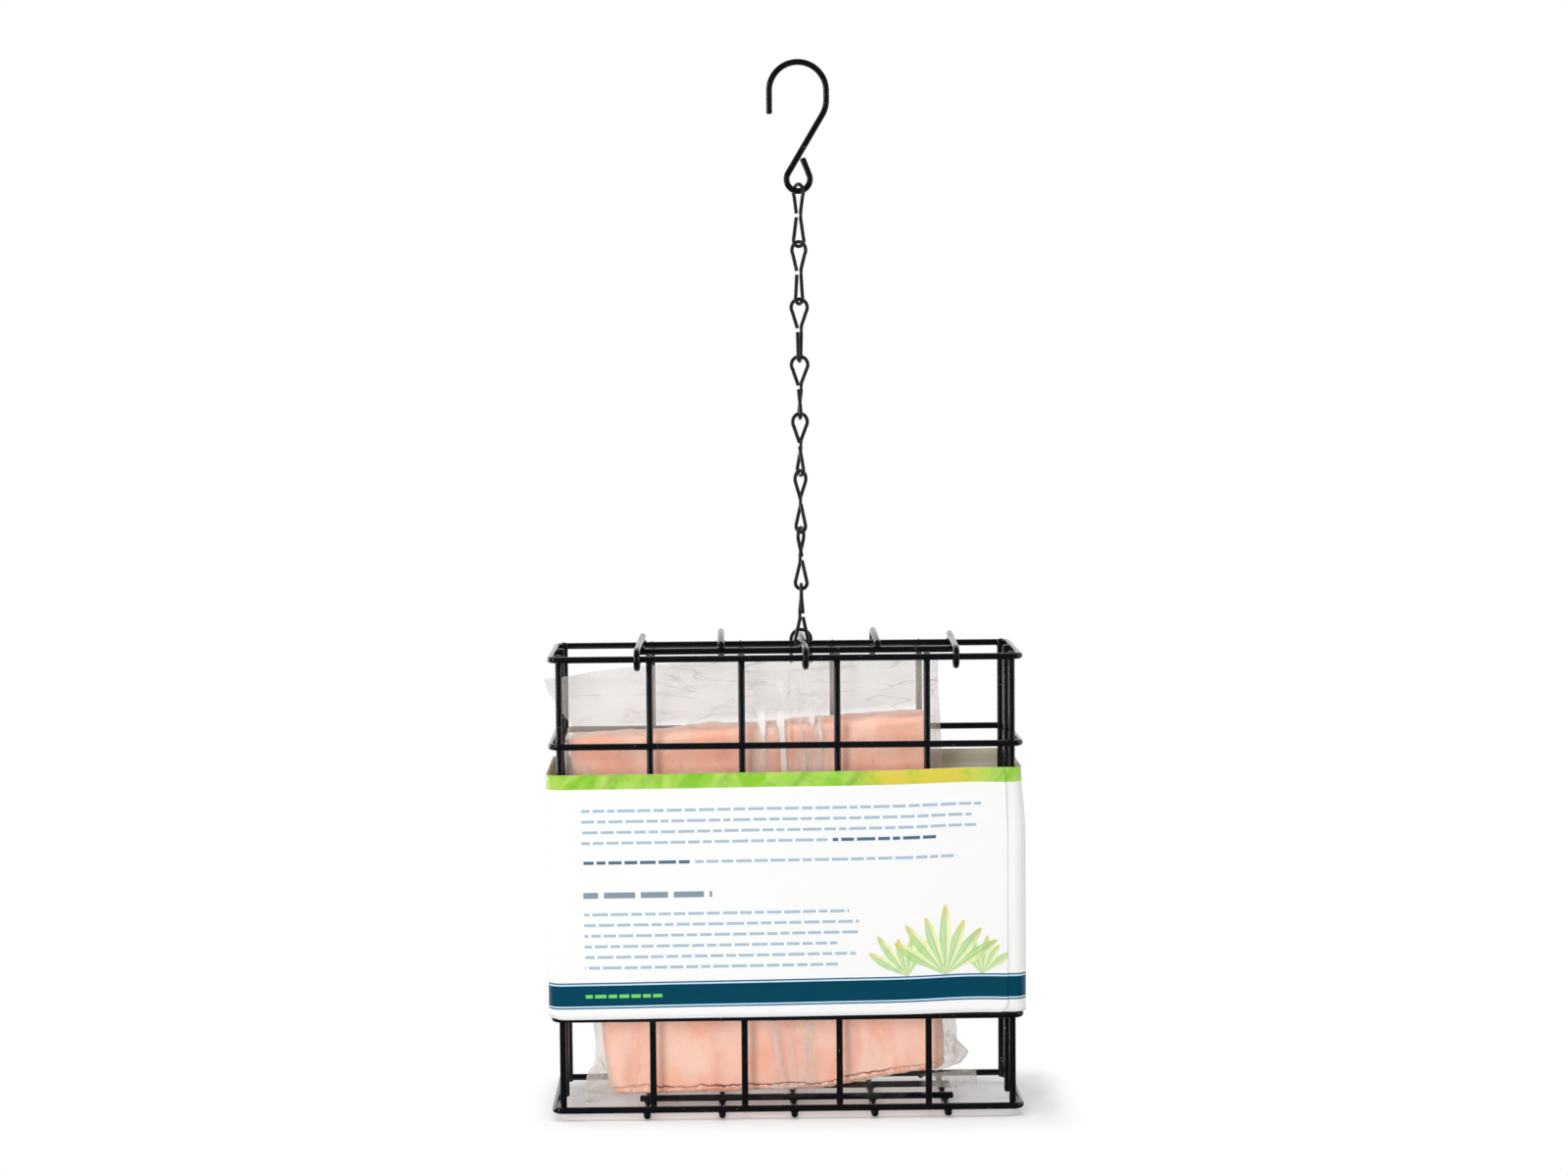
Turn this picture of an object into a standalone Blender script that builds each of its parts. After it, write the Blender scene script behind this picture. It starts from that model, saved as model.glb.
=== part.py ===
"""Suet cake feeder: a welded wire basket with a wire lid, hung from a chain and an S hook.

Metres, +Z up, the front faces -Y. The origin is the inside of the hook's top, where it hangs.
The object is built from the top down: hook, chain links, lid, basket, then what the basket holds.
"""
from math import acos, atan2, cos, degrees, pi, radians, sin, sqrt, tan

import bmesh
import bpy
from mathutils import Matrix, Vector

# Gap between pieces that touch
clearance = 0.0003

# Hook: one piece of round wire, bent to an open crook above and a closed eye below
hook_wire = 0.0020
hook_crook_radius = 0.0091
hook_height = 0.0409
hook_tip_leg = 0.0074
hook_eye_radius = 0.00375
hook_eye_tail = 0.0058

# Chain: figure-eight links, the upper loop square to the lower one, each turned a little more.
# The first link hangs turned in the hook's eye, so it bears a little above the eye's foot.
link_count = 8
link_wire = 0.0012
link_length = 0.0198
link_upper_width = 0.0065
link_lower_width = 0.0052
link_strand_gap = 0.0002
link_cut_gap = 0.0011
link_waist = 0.0024
link_waist_bend = 0.0040
first_link_lift = 0.0003
first_link_turn = radians(-56)
link_turn_step = radians(20.8)

# Basket: six hoops round the outside, posts and uprights inside them, with room round the cake.
# The places of uprights, floor and lid wires are shares of the way from the middle to the posts.
wire = 0.0021
cage_end_room = 0.0187
cage_side_room = 0.0095
cage_head_room = 0.0006
hoop_height_shares = (0.0, 0.204, 0.404, 0.606, 0.808, 1.0)
hoop_corner_radius = 0.0030
upright_place_shares = (-0.60, -0.193, 0.229, 0.626)
upright_top_stub = 0.0014
upright_foot_stub = 0.0010

# Floor: cross wires under the lowest hoop, two long wires on top of them
floor_place_shares = (-0.629, -0.295, 0.027, 0.384, 0.711)
floor_rail_spacing = 0.0170
floor_rail_stub = 0.0016
floor_front_stub = 0.0007

# Lid: three wires that curl round the front rail, two that clip over the rear rail
lid_slope = radians(2.2)
lid_hinge_place_shares = (-0.638, 0.081, 0.758)
lid_clip_place_shares = (-0.282, 0.416)
curl_radius = 0.0027
curl_sweep = radians(255)
lid_rail_setback = 0.0165
lid_rail_spacing = 0.0170
lid_rail_stub = 0.0014
hinge_wire_tail = 0.0040
clip_front_stub = 0.0018
clip_bend_radius = 0.0045
clip_leg = 0.0042
staple_wire = 0.0012
staple_width = 0.0064
staple_leg = 0.0078

# Suet cake: a moulded block, a little wider at the top, leaning on the left side wire
cake_height = 0.1155
cake_foot_width = 0.1105
cake_top_width = 0.1170
cake_thickness = 0.0220
cake_edge_radius = 0.0030
cake_lean = radians(3.6)

# Film wrapper: a thin pouch close round the cake, with a flat fin standing above it
film_wall = 0.0004
film_fin_height = 0.0190
film_fin_inset = 0.0040
film_mouth = 0.0004
film_shoulder = 0.0060
film_neck_height = 0.0120
film_neck_depth_share = 0.55
film_corner_share = 0.9

# Label sleeve: a card band round the basket, its end glued over its start at the front
card = 0.00045
label_height = 0.0780
label_foot_height = 0.0300
label_lean = radians(0.4)
label_flap_inset = 0.0055
label_overlap = 0.0180

# Heights and places that follow from the sizes above
hook_eye_foot = hook_wire / 2 - hook_height
link_pitch = link_length - link_wire - clearance
first_crown = hook_eye_foot + (hook_wire + link_wire) / 2 + clearance + first_link_lift
last_link_foot = first_crown - (link_count - 1) * link_pitch - link_length
wire_step = wire + clearance
wrap_space = clearance + film_wall + clearance
leaning_width = (cake_foot_width + cake_top_width) / 2 * cos(cake_lean) + cake_height * sin(cake_lean)
standing_height = (cake_height + film_fin_height) * cos(cake_lean) + cake_foot_width * sin(cake_lean)
cage_length = leaning_width + 2 * (wrap_space + wire + wire_step) + cage_end_room
cage_depth = cake_thickness + 2 * (wrap_space + wire + wire_step + cage_side_room)
cage_height = wire / 2 + wrap_space + standing_height + cage_head_room
rail_length = cage_length - wire
rail_depth = cage_depth - wire
lid_wire_height = last_link_foot + (link_wire + wire) / 2 + clearance
rail_height = lid_wire_height - curl_radius / cos(lid_slope) - rail_depth / 2 * tan(lid_slope)
cage_foot = rail_height - cage_height
post_inset = hoop_corner_radius - (hoop_corner_radius - wire_step) / sqrt(2)
post_x = rail_length / 2 - post_inset
cage_shift = -lid_hinge_place_shares[1] * post_x
post_y = rail_depth / 2 - post_inset
upright_y = rail_depth / 2 - wire_step
side_upright_x = rail_length / 2 - wire_step


def new_material(name, colour, roughness, metallic=0.0, alpha=1.0):
    material = bpy.data.materials.new(name)
    material.use_nodes = True
    shader = material.node_tree.nodes["Principled BSDF"]
    shader.inputs["Base Color"].default_value = (*colour, 1.0)
    shader.inputs["Roughness"].default_value = roughness
    shader.inputs["Metallic"].default_value = metallic
    shader.inputs["Alpha"].default_value = alpha
    material.diffuse_color = (*colour, alpha)
    return material


def new_pivot(name, place, parent=None):
    """An empty on a joint's axis, hung from the pivot above it. Place is in the world."""
    pivot = bpy.data.objects.new(name, None)
    bpy.context.collection.objects.link(pivot)
    pivot["place"] = place
    pivot.location = Vector(place)
    if parent:
        pivot.parent = parent
        pivot.location -= Vector(parent["place"])
    return pivot


def add_object(name, data, material, pivot, place, turn=(0.0, 0.0, 0.0)):
    """Links an object under its pivot, with its own frame at a place in the world."""
    thing = bpy.data.objects.new(name, data)
    bpy.context.collection.objects.link(thing)
    data.materials.append(material)
    thing.parent = pivot
    thing.location = Vector(place) - Vector(pivot["place"])
    thing.rotation_euler = turn
    return thing


def wire_curve(name, points, diameter, closed=False):
    """A round wire along a path, as a curve with a bevel and flat cut ends."""
    curve = bpy.data.curves.new(name, "CURVE")
    curve.dimensions = "3D"
    curve.twist_mode = "MINIMUM"
    curve.bevel_depth = diameter / 2
    curve.bevel_resolution = 2
    curve.use_fill_caps = True
    spline = curve.splines.new("POLY")
    spline.points.add(len(points) - 1)
    for target, point in zip(spline.points, points):
        target.co = (*point, 1.0)
        target.tilt = pi / 8
    spline.use_cyclic_u = closed
    return curve


def arc(centre, radius, start, end, steps, across, up):
    """Points on an arc about centre, its angle measured from the direction across towards up."""
    angles = [start + (end - start) * i / steps for i in range(steps + 1)]
    return [centre + radius * (cos(angle) * across + sin(angle) * up) for angle in angles]


def bent(corners, radius, steps):
    """Straight runs between corners, each inner corner rounded to a bend of one radius."""
    path = [corners[0]]
    for before, corner, after in zip(corners, corners[1:], corners[2:]):
        into = (corner - before).normalized()
        out = (after - corner).normalized()
        turn = into.angle(out)
        centre = corner + (out - into).normalized() * radius / cos(turn / 2)
        first = corner - into * radius * tan(turn / 2) - centre
        axis = into.cross(out)
        for i in range(steps + 1):
            path.append(centre + Matrix.Rotation(turn * i / steps, 3, axis) @ first)
    path.append(corners[-1])
    return path


def loft(name, rings):
    """A closed mesh through rings of points that match one to one, with both ends capped."""
    mesh = bmesh.new()
    rows = [[mesh.verts.new(point) for point in ring] for ring in rings]
    for row, following in zip(rows, rows[1:]):
        for i in range(len(row)):
            j = (i + 1) % len(row)
            mesh.faces.new((row[i], row[j], following[j], following[i]))
    mesh.faces.new(rows[0][::-1])
    mesh.faces.new(rows[-1])
    bmesh.ops.recalc_face_normals(mesh, faces=mesh.faces)
    data = bpy.data.meshes.new(name)
    mesh.to_mesh(data)
    mesh.free()
    data.shade_smooth()
    data.set_sharp_from_angle(angle=radians(40))
    return data


X = Vector((1, 0, 0))
Y = Vector((0, 1, 0))
Z = Vector((0, 0, 1))


def hook_path():
    """Tip leg, crook, slanting shank, eye and tail, all in the plane that faces the front."""
    crook = Z * (hook_wire / 2 - hook_crook_radius)
    eye = Z * (hook_eye_foot + hook_eye_radius)
    slant = acos((hook_crook_radius + hook_eye_radius) / (crook - eye).length)
    shank_turn = pi / 2 - slant
    tail_turn = shank_turn - atan2(hook_wire + clearance, hook_eye_tail) / 2
    tip = crook - X * hook_crook_radius - Z * hook_tip_leg
    path = [tip]
    path += arc(crook, hook_crook_radius, pi, -shank_turn, 16, X, Z)
    path += arc(eye, hook_eye_radius, pi - shank_turn, 2 * pi + tail_turn, 14, X, Z)
    tail_direction = Z * cos(tail_turn) - X * sin(tail_turn)
    path.append(path[-1] + tail_direction * hook_eye_tail)
    return path


def leg_angle(radius, height, strand):
    """How far below level a loop's arch ends on each side, where its straight legs leave it.

    The legs are tangents to the arch from two points beside the waist, the distance strand
    to each side of the middle and the distance height below the arch's centre.
    """
    reach = sqrt(height ** 2 + strand ** 2)
    return pi / 2 - acos(radius / reach) + atan2(strand, height)


def link_path():
    """One link as a single strand: cut end, upper loop, waist, lower loop, cut end.

    The upper loop lies in the X-Z plane and the lower one in the Y-Z plane. The through strand
    and the two cut ends stand side by side at the waist, one strand spacing apart.
    """
    upper_radius = (link_upper_width - link_wire) / 2
    lower_radius = (link_lower_width - link_wire) / 2
    side = (link_wire + link_strand_gap) / 2 / sqrt(2)
    upper = -Z * upper_radius
    lower = -Z * (link_length - lower_radius)
    middle = -Z * link_length / 2
    half_waist = Z * link_waist / 2
    half_cut = Z * link_cut_gap / 2
    strand = (X + Y) * side
    upper_reach = (upper - middle - half_waist).length
    lower_reach = (middle - half_waist - lower).length
    upper_angle = leg_angle(upper_radius, upper_reach, side)
    lower_angle = leg_angle(lower_radius, lower_reach, side)
    crown = arc(upper, upper_radius, pi + upper_angle, -upper_angle, 9, X, Z)
    foot = arc(lower, lower_radius, lower_angle, -pi - lower_angle, 9, Y, Z)
    through = [crown[-1], middle + half_waist + strand, middle - half_waist + strand, foot[0]]
    path = [middle + half_cut - strand]
    path += crown
    path += bent(through, link_waist_bend, 2)[1:-1]
    path += foot
    path.append(middle - half_cut - strand)
    return path


def hoop_path():
    """A rounded rectangle of wire, starting at the middle of the front."""
    a = rail_length / 2
    b = rail_depth / 2
    start = Vector((0, -b, 0))
    corners = [start] + [Vector(place) for place in ((a, -b, 0), (a, b, 0), (-a, b, 0), (-a, -b, 0))]
    return bent(corners + [start], hoop_corner_radius, 5)[:-1]


def hinge_wire_path():
    """In the lid's frame, its origin on the hinge axis: a curl round the rail, then straight back."""
    length = lid_rail_setback + lid_rail_spacing + hinge_wire_tail
    curl = arc(Vector((0, 0, 0)), curl_radius, pi / 2 + curl_sweep, pi / 2, 12, Y, Z)
    return curl + [Y * length + Z * curl_radius]


def clip_wire_path():
    """In the lid's frame: straight back over the lid's long wires, then down behind the rear rail."""
    rail_reach = rail_depth * cos(lid_slope)
    rail_drop = -rail_depth * sin(lid_slope)
    leg = rail_reach + wire_step
    front = Y * (lid_rail_setback - wire / 2 - clip_front_stub) + Z * curl_radius
    knee = Y * leg + Z * curl_radius
    foot = Y * leg + Z * (rail_drop - clip_leg)
    return bent([front, knee, foot], clip_bend_radius, 6)


def staple_path():
    """An arch of thin wire over the middle wire's tail, its legs hanging behind the rear long wire."""
    behind = lid_rail_setback + lid_rail_spacing + (wire + staple_wire) / 2 + clearance
    crown = curl_radius + (wire + staple_wire) / 2 + clearance
    radius = staple_width / 2
    centre = Y * behind + Z * (crown - radius)
    path = arc(centre, radius, pi, 0, 8, X, Z)
    return [path[0] - Z * staple_leg] + path + [path[-1] - Z * staple_leg]


def rounded_rectangle(half_width, half_depth, radius, height, steps=4):
    """One ring of points at a height, in the order right, rear, left, front."""
    ring = []
    corners = ((1, 1, 0.0), (-1, 1, 0.5), (-1, -1, 1.0), (1, -1, 1.5))
    for side, end, start_share in corners:
        centre = Vector((side * (half_width - radius), end * (half_depth - radius), height))
        ring += arc(centre, radius, start_share * pi, (start_share + 0.5) * pi, steps, X, Y)
    return ring


def cake_ring(height_share, inset, height, spread):
    """A ring round the cake, set in by inset at its rounded edges and out by spread."""
    half_width = (cake_foot_width + (cake_top_width - cake_foot_width) * height_share) / 2
    half_depth = cake_thickness / 2
    radius = cake_edge_radius - inset * (1 - 1 / sqrt(2)) + spread
    return rounded_rectangle(half_width - inset + spread, half_depth - inset + spread, radius, height)


def cake_rings(spread, with_top=True):
    """Rings from the foot of the cake to its top, with edges rounded, all set out by spread."""
    radius = cake_edge_radius + spread
    rings = []
    turns = [i * pi / 6 for i in range(4)]
    for turn in turns:
        inset = radius * (1 - sin(turn))
        rings.append(cake_ring(0.0, inset, -spread + radius * (1 - cos(turn)), spread))
    if with_top:
        for turn in reversed(turns):
            inset = radius * (1 - sin(turn))
            rings.append(cake_ring(1.0, inset, cake_height + spread - radius * (1 - cos(turn)), spread))
    return rings


def film_rings():
    """Outer rings from the foot up to the mouth of the fin, then inner rings back down."""
    rings = []
    for spread, mouth, step in ((clearance + film_wall, film_mouth / 2 + film_wall, 1),
                                (clearance, film_mouth / 2, -1)):
        wall = cake_rings(spread, with_top=False)
        wall.append(cake_ring(1.0, 0, cake_height, spread))
        inset = film_fin_inset - spread
        for rise, depth_share in ((film_shoulder, film_neck_depth_share), (film_neck_height, 0.0),
                                  (film_fin_height, 0.0)):
            half_width = cake_top_width / 2 - inset
            half_depth = mouth + (cake_thickness / 2 - mouth) * depth_share
            radius = min(cake_edge_radius, half_depth * film_corner_share)
            wall.append(rounded_rectangle(half_width, half_depth, radius, cake_height + rise))
        rings += wall[::step]
    return rings


def label_outline():
    """The sleeve's middle line seen from above, from its hidden start round to its glued flap."""
    space = clearance + card / 2
    a = cage_length / 2 + space
    b = cage_depth / 2 + space
    radius = hoop_corner_radius + wire / 2 + space
    flap = cage_length / 2 - label_flap_inset
    lap = card + link_strand_gap
    start = Vector((flap - label_overlap, -b, 0))
    lapped = Vector((flap - label_overlap, -b - lap, 0))
    end = Vector((flap, -b - lap, 0))
    corners = [Vector(place) for place in ((a, -b, 0), (a, b, 0), (-a, b, 0), (-a, -b, 0))]
    return bent([start] + corners + [lapped], radius, 6) + [end]


def label_mesh(name):
    """A strip of card standing on edge, given its thickness by a modifier afterwards."""
    outline = label_outline()
    mesh = bmesh.new()
    rows = []
    for level in (label_foot_height, label_foot_height + label_height):
        rows.append([mesh.verts.new(p + Z * (level + p.x * tan(label_lean))) for p in outline])
    for i in range(len(outline) - 1):
        mesh.faces.new((rows[0][i], rows[0][i + 1], rows[1][i + 1], rows[1][i]))
    data = bpy.data.meshes.new(name)
    mesh.to_mesh(data)
    mesh.free()
    data.shade_smooth()
    data.set_sharp_from_angle(angle=radians(40))
    return data


for old in list(bpy.data.objects):
    bpy.data.objects.remove(old, do_unlink=True)

black_coat = (0.012, 0.012, 0.013)
chain_black = (0.030, 0.030, 0.033)


# Hook
hook_pivot = new_pivot("hook_pivot", (0, 0, 0))
hook_material = new_material("hook_coat", black_coat, 0.30, 0.0)
add_object("hook", wire_curve("hook", hook_path(), hook_wire), hook_material, hook_pivot, (0, 0, 0))

# Chain: the odd links rock about their own crown wire, the even ones about the wire that holds them
parent = hook_pivot
link_curve_path = link_path()
for number in range(1, link_count + 1):
    crown = first_crown - (number - 1) * link_pitch
    axis_height = crown
    if number == 1:
        axis_height = hook_eye_foot
    elif number % 2 == 0:
        axis_height = crown - clearance - link_wire
    name = f"link_{number}"
    parent = new_pivot(f"{name}_pivot", (0, 0, axis_height), parent)
    turn = first_link_turn + (number - 1) * link_turn_step
    material = new_material(f"{name}_coat", chain_black, 0.35, 0.4)
    curve = wire_curve(name, link_curve_path, link_wire)
    add_object(name, curve, material, parent, (0, 0, crown), (0, 0, turn))
    print(name, "axis height", round(axis_height, 6), "turn", round(degrees(turn), 1))

# Lid: its frame is on the hinge axis, leaning back by the lid's slope
lid_pivot = new_pivot("lid_pivot", (0, 0, lid_wire_height), parent)
hinge_axis = (0, -rail_depth / 2, rail_height)
lid_turn = (lid_slope, 0, 0)


def lid_place(share):
    """A place on the hinge axis. The middle hinge wire lies under the chain."""
    return (cage_shift + share * post_x, hinge_axis[1], hinge_axis[2])


for side, share in zip(("left", "middle", "right"), lid_hinge_place_shares):
    name = f"lid_hinge_wire_{side}"
    material = new_material(f"{name}_coat", black_coat, 0.30)
    curve = wire_curve(name, hinge_wire_path(), wire)
    add_object(name, curve, material, lid_pivot, lid_place(share), lid_turn)
for side, share in zip(("left", "right"), lid_clip_place_shares):
    name = f"lid_clip_wire_{side}"
    material = new_material(f"{name}_coat", black_coat, 0.30)
    curve = wire_curve(name, clip_wire_path(), wire)
    add_object(name, curve, material, lid_pivot, lid_place(share), lid_turn)
lid_overhang = wire / 2 + lid_rail_stub
lid_ends = (lid_place(lid_hinge_place_shares[0])[0] - lid_overhang,
            lid_place(lid_hinge_place_shares[-1])[0] + lid_overhang)
middle_place = lid_place(lid_hinge_place_shares[1])
for side, setback in (("front", lid_rail_setback), ("rear", lid_rail_setback + lid_rail_spacing)):
    name = f"lid_long_wire_{side}"
    material = new_material(f"{name}_coat", black_coat, 0.30)
    path = [X * end + Y * setback + Z * (curl_radius - wire_step) for end in lid_ends]
    add_object(name, wire_curve(name, path, wire), material, lid_pivot, middle_place, lid_turn)
staple_material = new_material("lid_staple_coat", chain_black, 0.35, 0.4)
staple_curve = wire_curve("lid_staple", staple_path(), staple_wire)
add_object("lid_staple", staple_curve, staple_material, lid_pivot, middle_place, lid_turn)

# Basket: its frame stands at the middle of the lowest hoop
basket_pivot = new_pivot("basket_pivot", hinge_axis, lid_pivot)
cage_place = (cage_shift, 0, cage_foot)


def add_to_basket(name, points, closed=False):
    """One coated wire of the basket, drawn in the basket's frame."""
    material = new_material(f"{name}_coat", black_coat, 0.30)
    add_object(name, wire_curve(name, points, wire, closed), material, basket_pivot, cage_place)


def upright(x, y):
    """A straight wire that stands against the hoops, from its foot stub to its top stub."""
    return [Vector((x, y, -upright_foot_stub)), Vector((x, y, cage_height + upright_top_stub))]


for number, share in enumerate(hoop_height_shares, start=1):
    add_to_basket(f"hoop_{number}", [p + Z * share * cage_height for p in hoop_path()], closed=True)
for end, y_side in (("front", -1), ("rear", 1)):
    for side, x_side in (("left", -1), ("right", 1)):
        add_to_basket(f"post_{end}_{side}", upright(x_side * post_x, y_side * post_y))
    for number, share in enumerate(upright_place_shares, start=1):
        add_to_basket(f"upright_{end}_{number}", upright(share * post_x, y_side * upright_y))
for side, x_side in (("left", -1), ("right", 1)):
    add_to_basket(f"upright_side_{side}", upright(x_side * side_upright_x, 0))

floor_reach = cage_depth / 2 + floor_front_stub
for number, share in enumerate(floor_place_shares, start=1):
    middle = X * share * post_x - Z * wire_step
    add_to_basket(f"floor_cross_wire_{number}", [middle - Y * floor_reach, middle + Y * floor_reach])
floor_overhang = wire / 2 + floor_rail_stub
floor_ends = (floor_place_shares[0] * post_x - floor_overhang, floor_place_shares[-1] * post_x + floor_overhang)
for end, y_side in (("front", -1), ("rear", 1)):
    setback = Y * y_side * floor_rail_spacing / 2
    add_to_basket(f"floor_long_wire_{end}", [X * end_x + setback for end_x in floor_ends])

# Cake and film: one frame at the middle of the cake's foot, turned by its lean
leftmost = -cake_top_width / 2 * cos(cake_lean) - cake_height * sin(cake_lean)
edge_x = cake_edge_radius - cake_foot_width / 2
lowest = edge_x * sin(cake_lean) + cake_edge_radius * cos(cake_lean) - cake_edge_radius
cake_x = cage_shift - side_upright_x + wire / 2 + wrap_space - leftmost
cake_z = cage_foot + wire / 2 + wrap_space - lowest
cake_turn = (0, -cake_lean, 0)
cake_material = new_material("suet", (0.91, 0.50, 0.39), 0.62)
add_object("suet_cake", loft("suet_cake", cake_rings(0)), cake_material, basket_pivot,
           (cake_x, 0, cake_z), cake_turn)
film_material = new_material("film", (0.86, 0.85, 0.84), 0.15, 0.0, 0.35)
add_object("film_wrapper", loft("film_wrapper", film_rings()), film_material, basket_pivot,
           (cake_x, 0, cake_z), cake_turn)

# Label sleeve
label_material = new_material("label_card", (0.86, 0.86, 0.84), 0.35)
label = add_object("label_sleeve", label_mesh("label_sleeve"), label_material, basket_pivot, cage_place)
thicken = label.modifiers.new("card", "SOLIDIFY")
thicken.thickness = card
thicken.offset = 0
thicken.use_even_offset = True

print("hinge axis", [round(value, 6) for value in hinge_axis])
print("lid axis height", round(lid_wire_height, 6))
print("basket frame", [round(value, 6) for value in cage_place])
print("basket length, depth, height", [round(value, 5) for value in (cage_length, cage_depth, cage_height)])
print("cake foot", round(cake_x, 6), round(cake_z, 6))
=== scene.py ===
"""Suet cake feeder: a basket of coated wire that hangs from a chain and a hook.

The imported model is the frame. The pieces follow from the top down: hook, chain, lid, basket,
and then what the basket holds: the suet cake, its film wrapper and the card sleeve.
"""
from functools import partialmethod
from math import acos, atan2, cos, pi, radians, sin, sqrt, tan

import bpy
import numpy as np
from mathutils import Matrix, Vector


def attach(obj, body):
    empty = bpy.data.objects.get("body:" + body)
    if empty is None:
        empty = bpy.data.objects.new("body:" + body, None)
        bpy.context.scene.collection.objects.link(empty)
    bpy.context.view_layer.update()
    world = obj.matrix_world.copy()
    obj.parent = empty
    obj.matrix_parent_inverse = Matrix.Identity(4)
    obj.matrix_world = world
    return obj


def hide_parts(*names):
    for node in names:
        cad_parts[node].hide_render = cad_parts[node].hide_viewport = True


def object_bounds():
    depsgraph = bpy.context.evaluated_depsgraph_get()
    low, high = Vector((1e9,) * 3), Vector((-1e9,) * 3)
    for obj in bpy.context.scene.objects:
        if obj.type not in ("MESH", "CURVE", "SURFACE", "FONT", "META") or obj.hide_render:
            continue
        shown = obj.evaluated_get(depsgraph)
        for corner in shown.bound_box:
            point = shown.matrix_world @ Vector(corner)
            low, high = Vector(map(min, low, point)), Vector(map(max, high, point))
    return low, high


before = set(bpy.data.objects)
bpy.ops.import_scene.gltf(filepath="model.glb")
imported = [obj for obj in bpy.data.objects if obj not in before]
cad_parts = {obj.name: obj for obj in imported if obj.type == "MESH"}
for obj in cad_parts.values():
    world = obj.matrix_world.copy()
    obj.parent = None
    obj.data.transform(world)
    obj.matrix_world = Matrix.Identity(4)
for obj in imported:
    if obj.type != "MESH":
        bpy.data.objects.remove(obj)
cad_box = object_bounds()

# Camera: a long lens in front of the feeder, level with its chain and looking a little down. Its
# place and turns are those at which the basket's posts and rails fall where the photograph has them.
camera_place = (-0.0248, -1.1015, -0.0864)
camera_yaw = radians(-1.001)
camera_pitch = radians(-4.182)
camera_roll = radians(0.452)
camera_lens = 78.75
camera_sensor = 36.0
camera_nearest, camera_farthest = 0.02, 50.0

camera = bpy.data.objects.new("camera", bpy.data.cameras.new("camera"))
bpy.context.scene.collection.objects.link(camera)
camera.data.sensor_width = camera_sensor
camera.data.lens = camera_lens
camera.data.clip_start = camera_nearest
camera.data.clip_end = camera_farthest
level_camera = Matrix.Rotation(radians(90), 3, "X")
aim = (Matrix.Rotation(camera_yaw, 3, "Z") @ Matrix.Rotation(camera_pitch, 3, "X")
       @ Matrix.Rotation(camera_roll, 3, "Y") @ level_camera)
camera.location = camera_place
camera.rotation_euler = aim.to_euler()
bpy.context.scene.camera = camera
bpy.context.scene.view_settings.view_transform = "Standard"


# Studio: a white table and backdrop, soft boxes overhead, in front and behind, and a tall strip at
# each side that draws a thin line of light down every upright wire. Gloss sees a dark room on the
# lens's side of the feeder, which keeps the black coat black.
floor_reach = 4.0
floor_albedo = 0.80
floor_glow = 0.17
floor_drop = 0.0001
cage_half_length, cage_half_depth = 0.076, 0.027
shadow_reach = (0.0, 0.026)
shadow_squash = 1.8
room_level = 0.42
front_gloss_level = 0.015
front_gloss_reach = (-0.03, 0.07)
backdrop_reach = (0.05, 0.45)
# Soft boxes: width and height, power, distance from the feeder's axis, turn about it from the front,
# height above the feeder's middle, height of the spot each faces, and whether gloss sees it
soft_boxes = {"overhead_box": ((0.9, 0.5), 5.5, 0.25, 0.0, 1.0, -0.1, False),
              "key_box": ((0.24, 0.60), 8.2, 1.3, radians(-14), 0.16, -0.1, False),
              "left_strip": ((0.06, 1.1), 2.9, 1.0, radians(-62), -0.05, -0.05, True),
              "right_strip": ((0.06, 1.1), 1.9, 1.0, radians(76), -0.05, -0.05, True),
              "rim_box": ((0.50, 0.90), 6.0, 1.0, radians(-124), -0.05, -0.05, True)}


class Value:
    """A shader socket that works in sums: each operator adds one Math node."""

    def __init__(self, finish, socket):
        self.finish = finish
        self.socket = socket

    def math(self, operation, *others):
        return self.finish.node("ShaderNodeMath", {"operation": operation},
                                dict(enumerate((self, *others))))

    def __rsub__(self, other):
        return self.finish.node("ShaderNodeMath", {"operation": "SUBTRACT"}, {0: other, 1: self})

    __add__ = __radd__ = partialmethod(math, "ADD")
    __sub__ = partialmethod(math, "SUBTRACT")
    __mul__ = __rmul__ = partialmethod(math, "MULTIPLY")
    __truediv__ = partialmethod(math, "DIVIDE")
    __pow__ = partialmethod(math, "POWER")
    least = partialmethod(math, "MINIMUM")
    most = partialmethod(math, "MAXIMUM")
    size = partialmethod(math, "ABSOLUTE")

    def rise(self, low, high):
        """0 below low, 1 above high, and a smooth step between them."""
        return self.finish.node("ShaderNodeMapRange", {"interpolation_type": "SMOOTHSTEP"},
                                {"Value": self, "From Min": low, "From Max": high})


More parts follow.
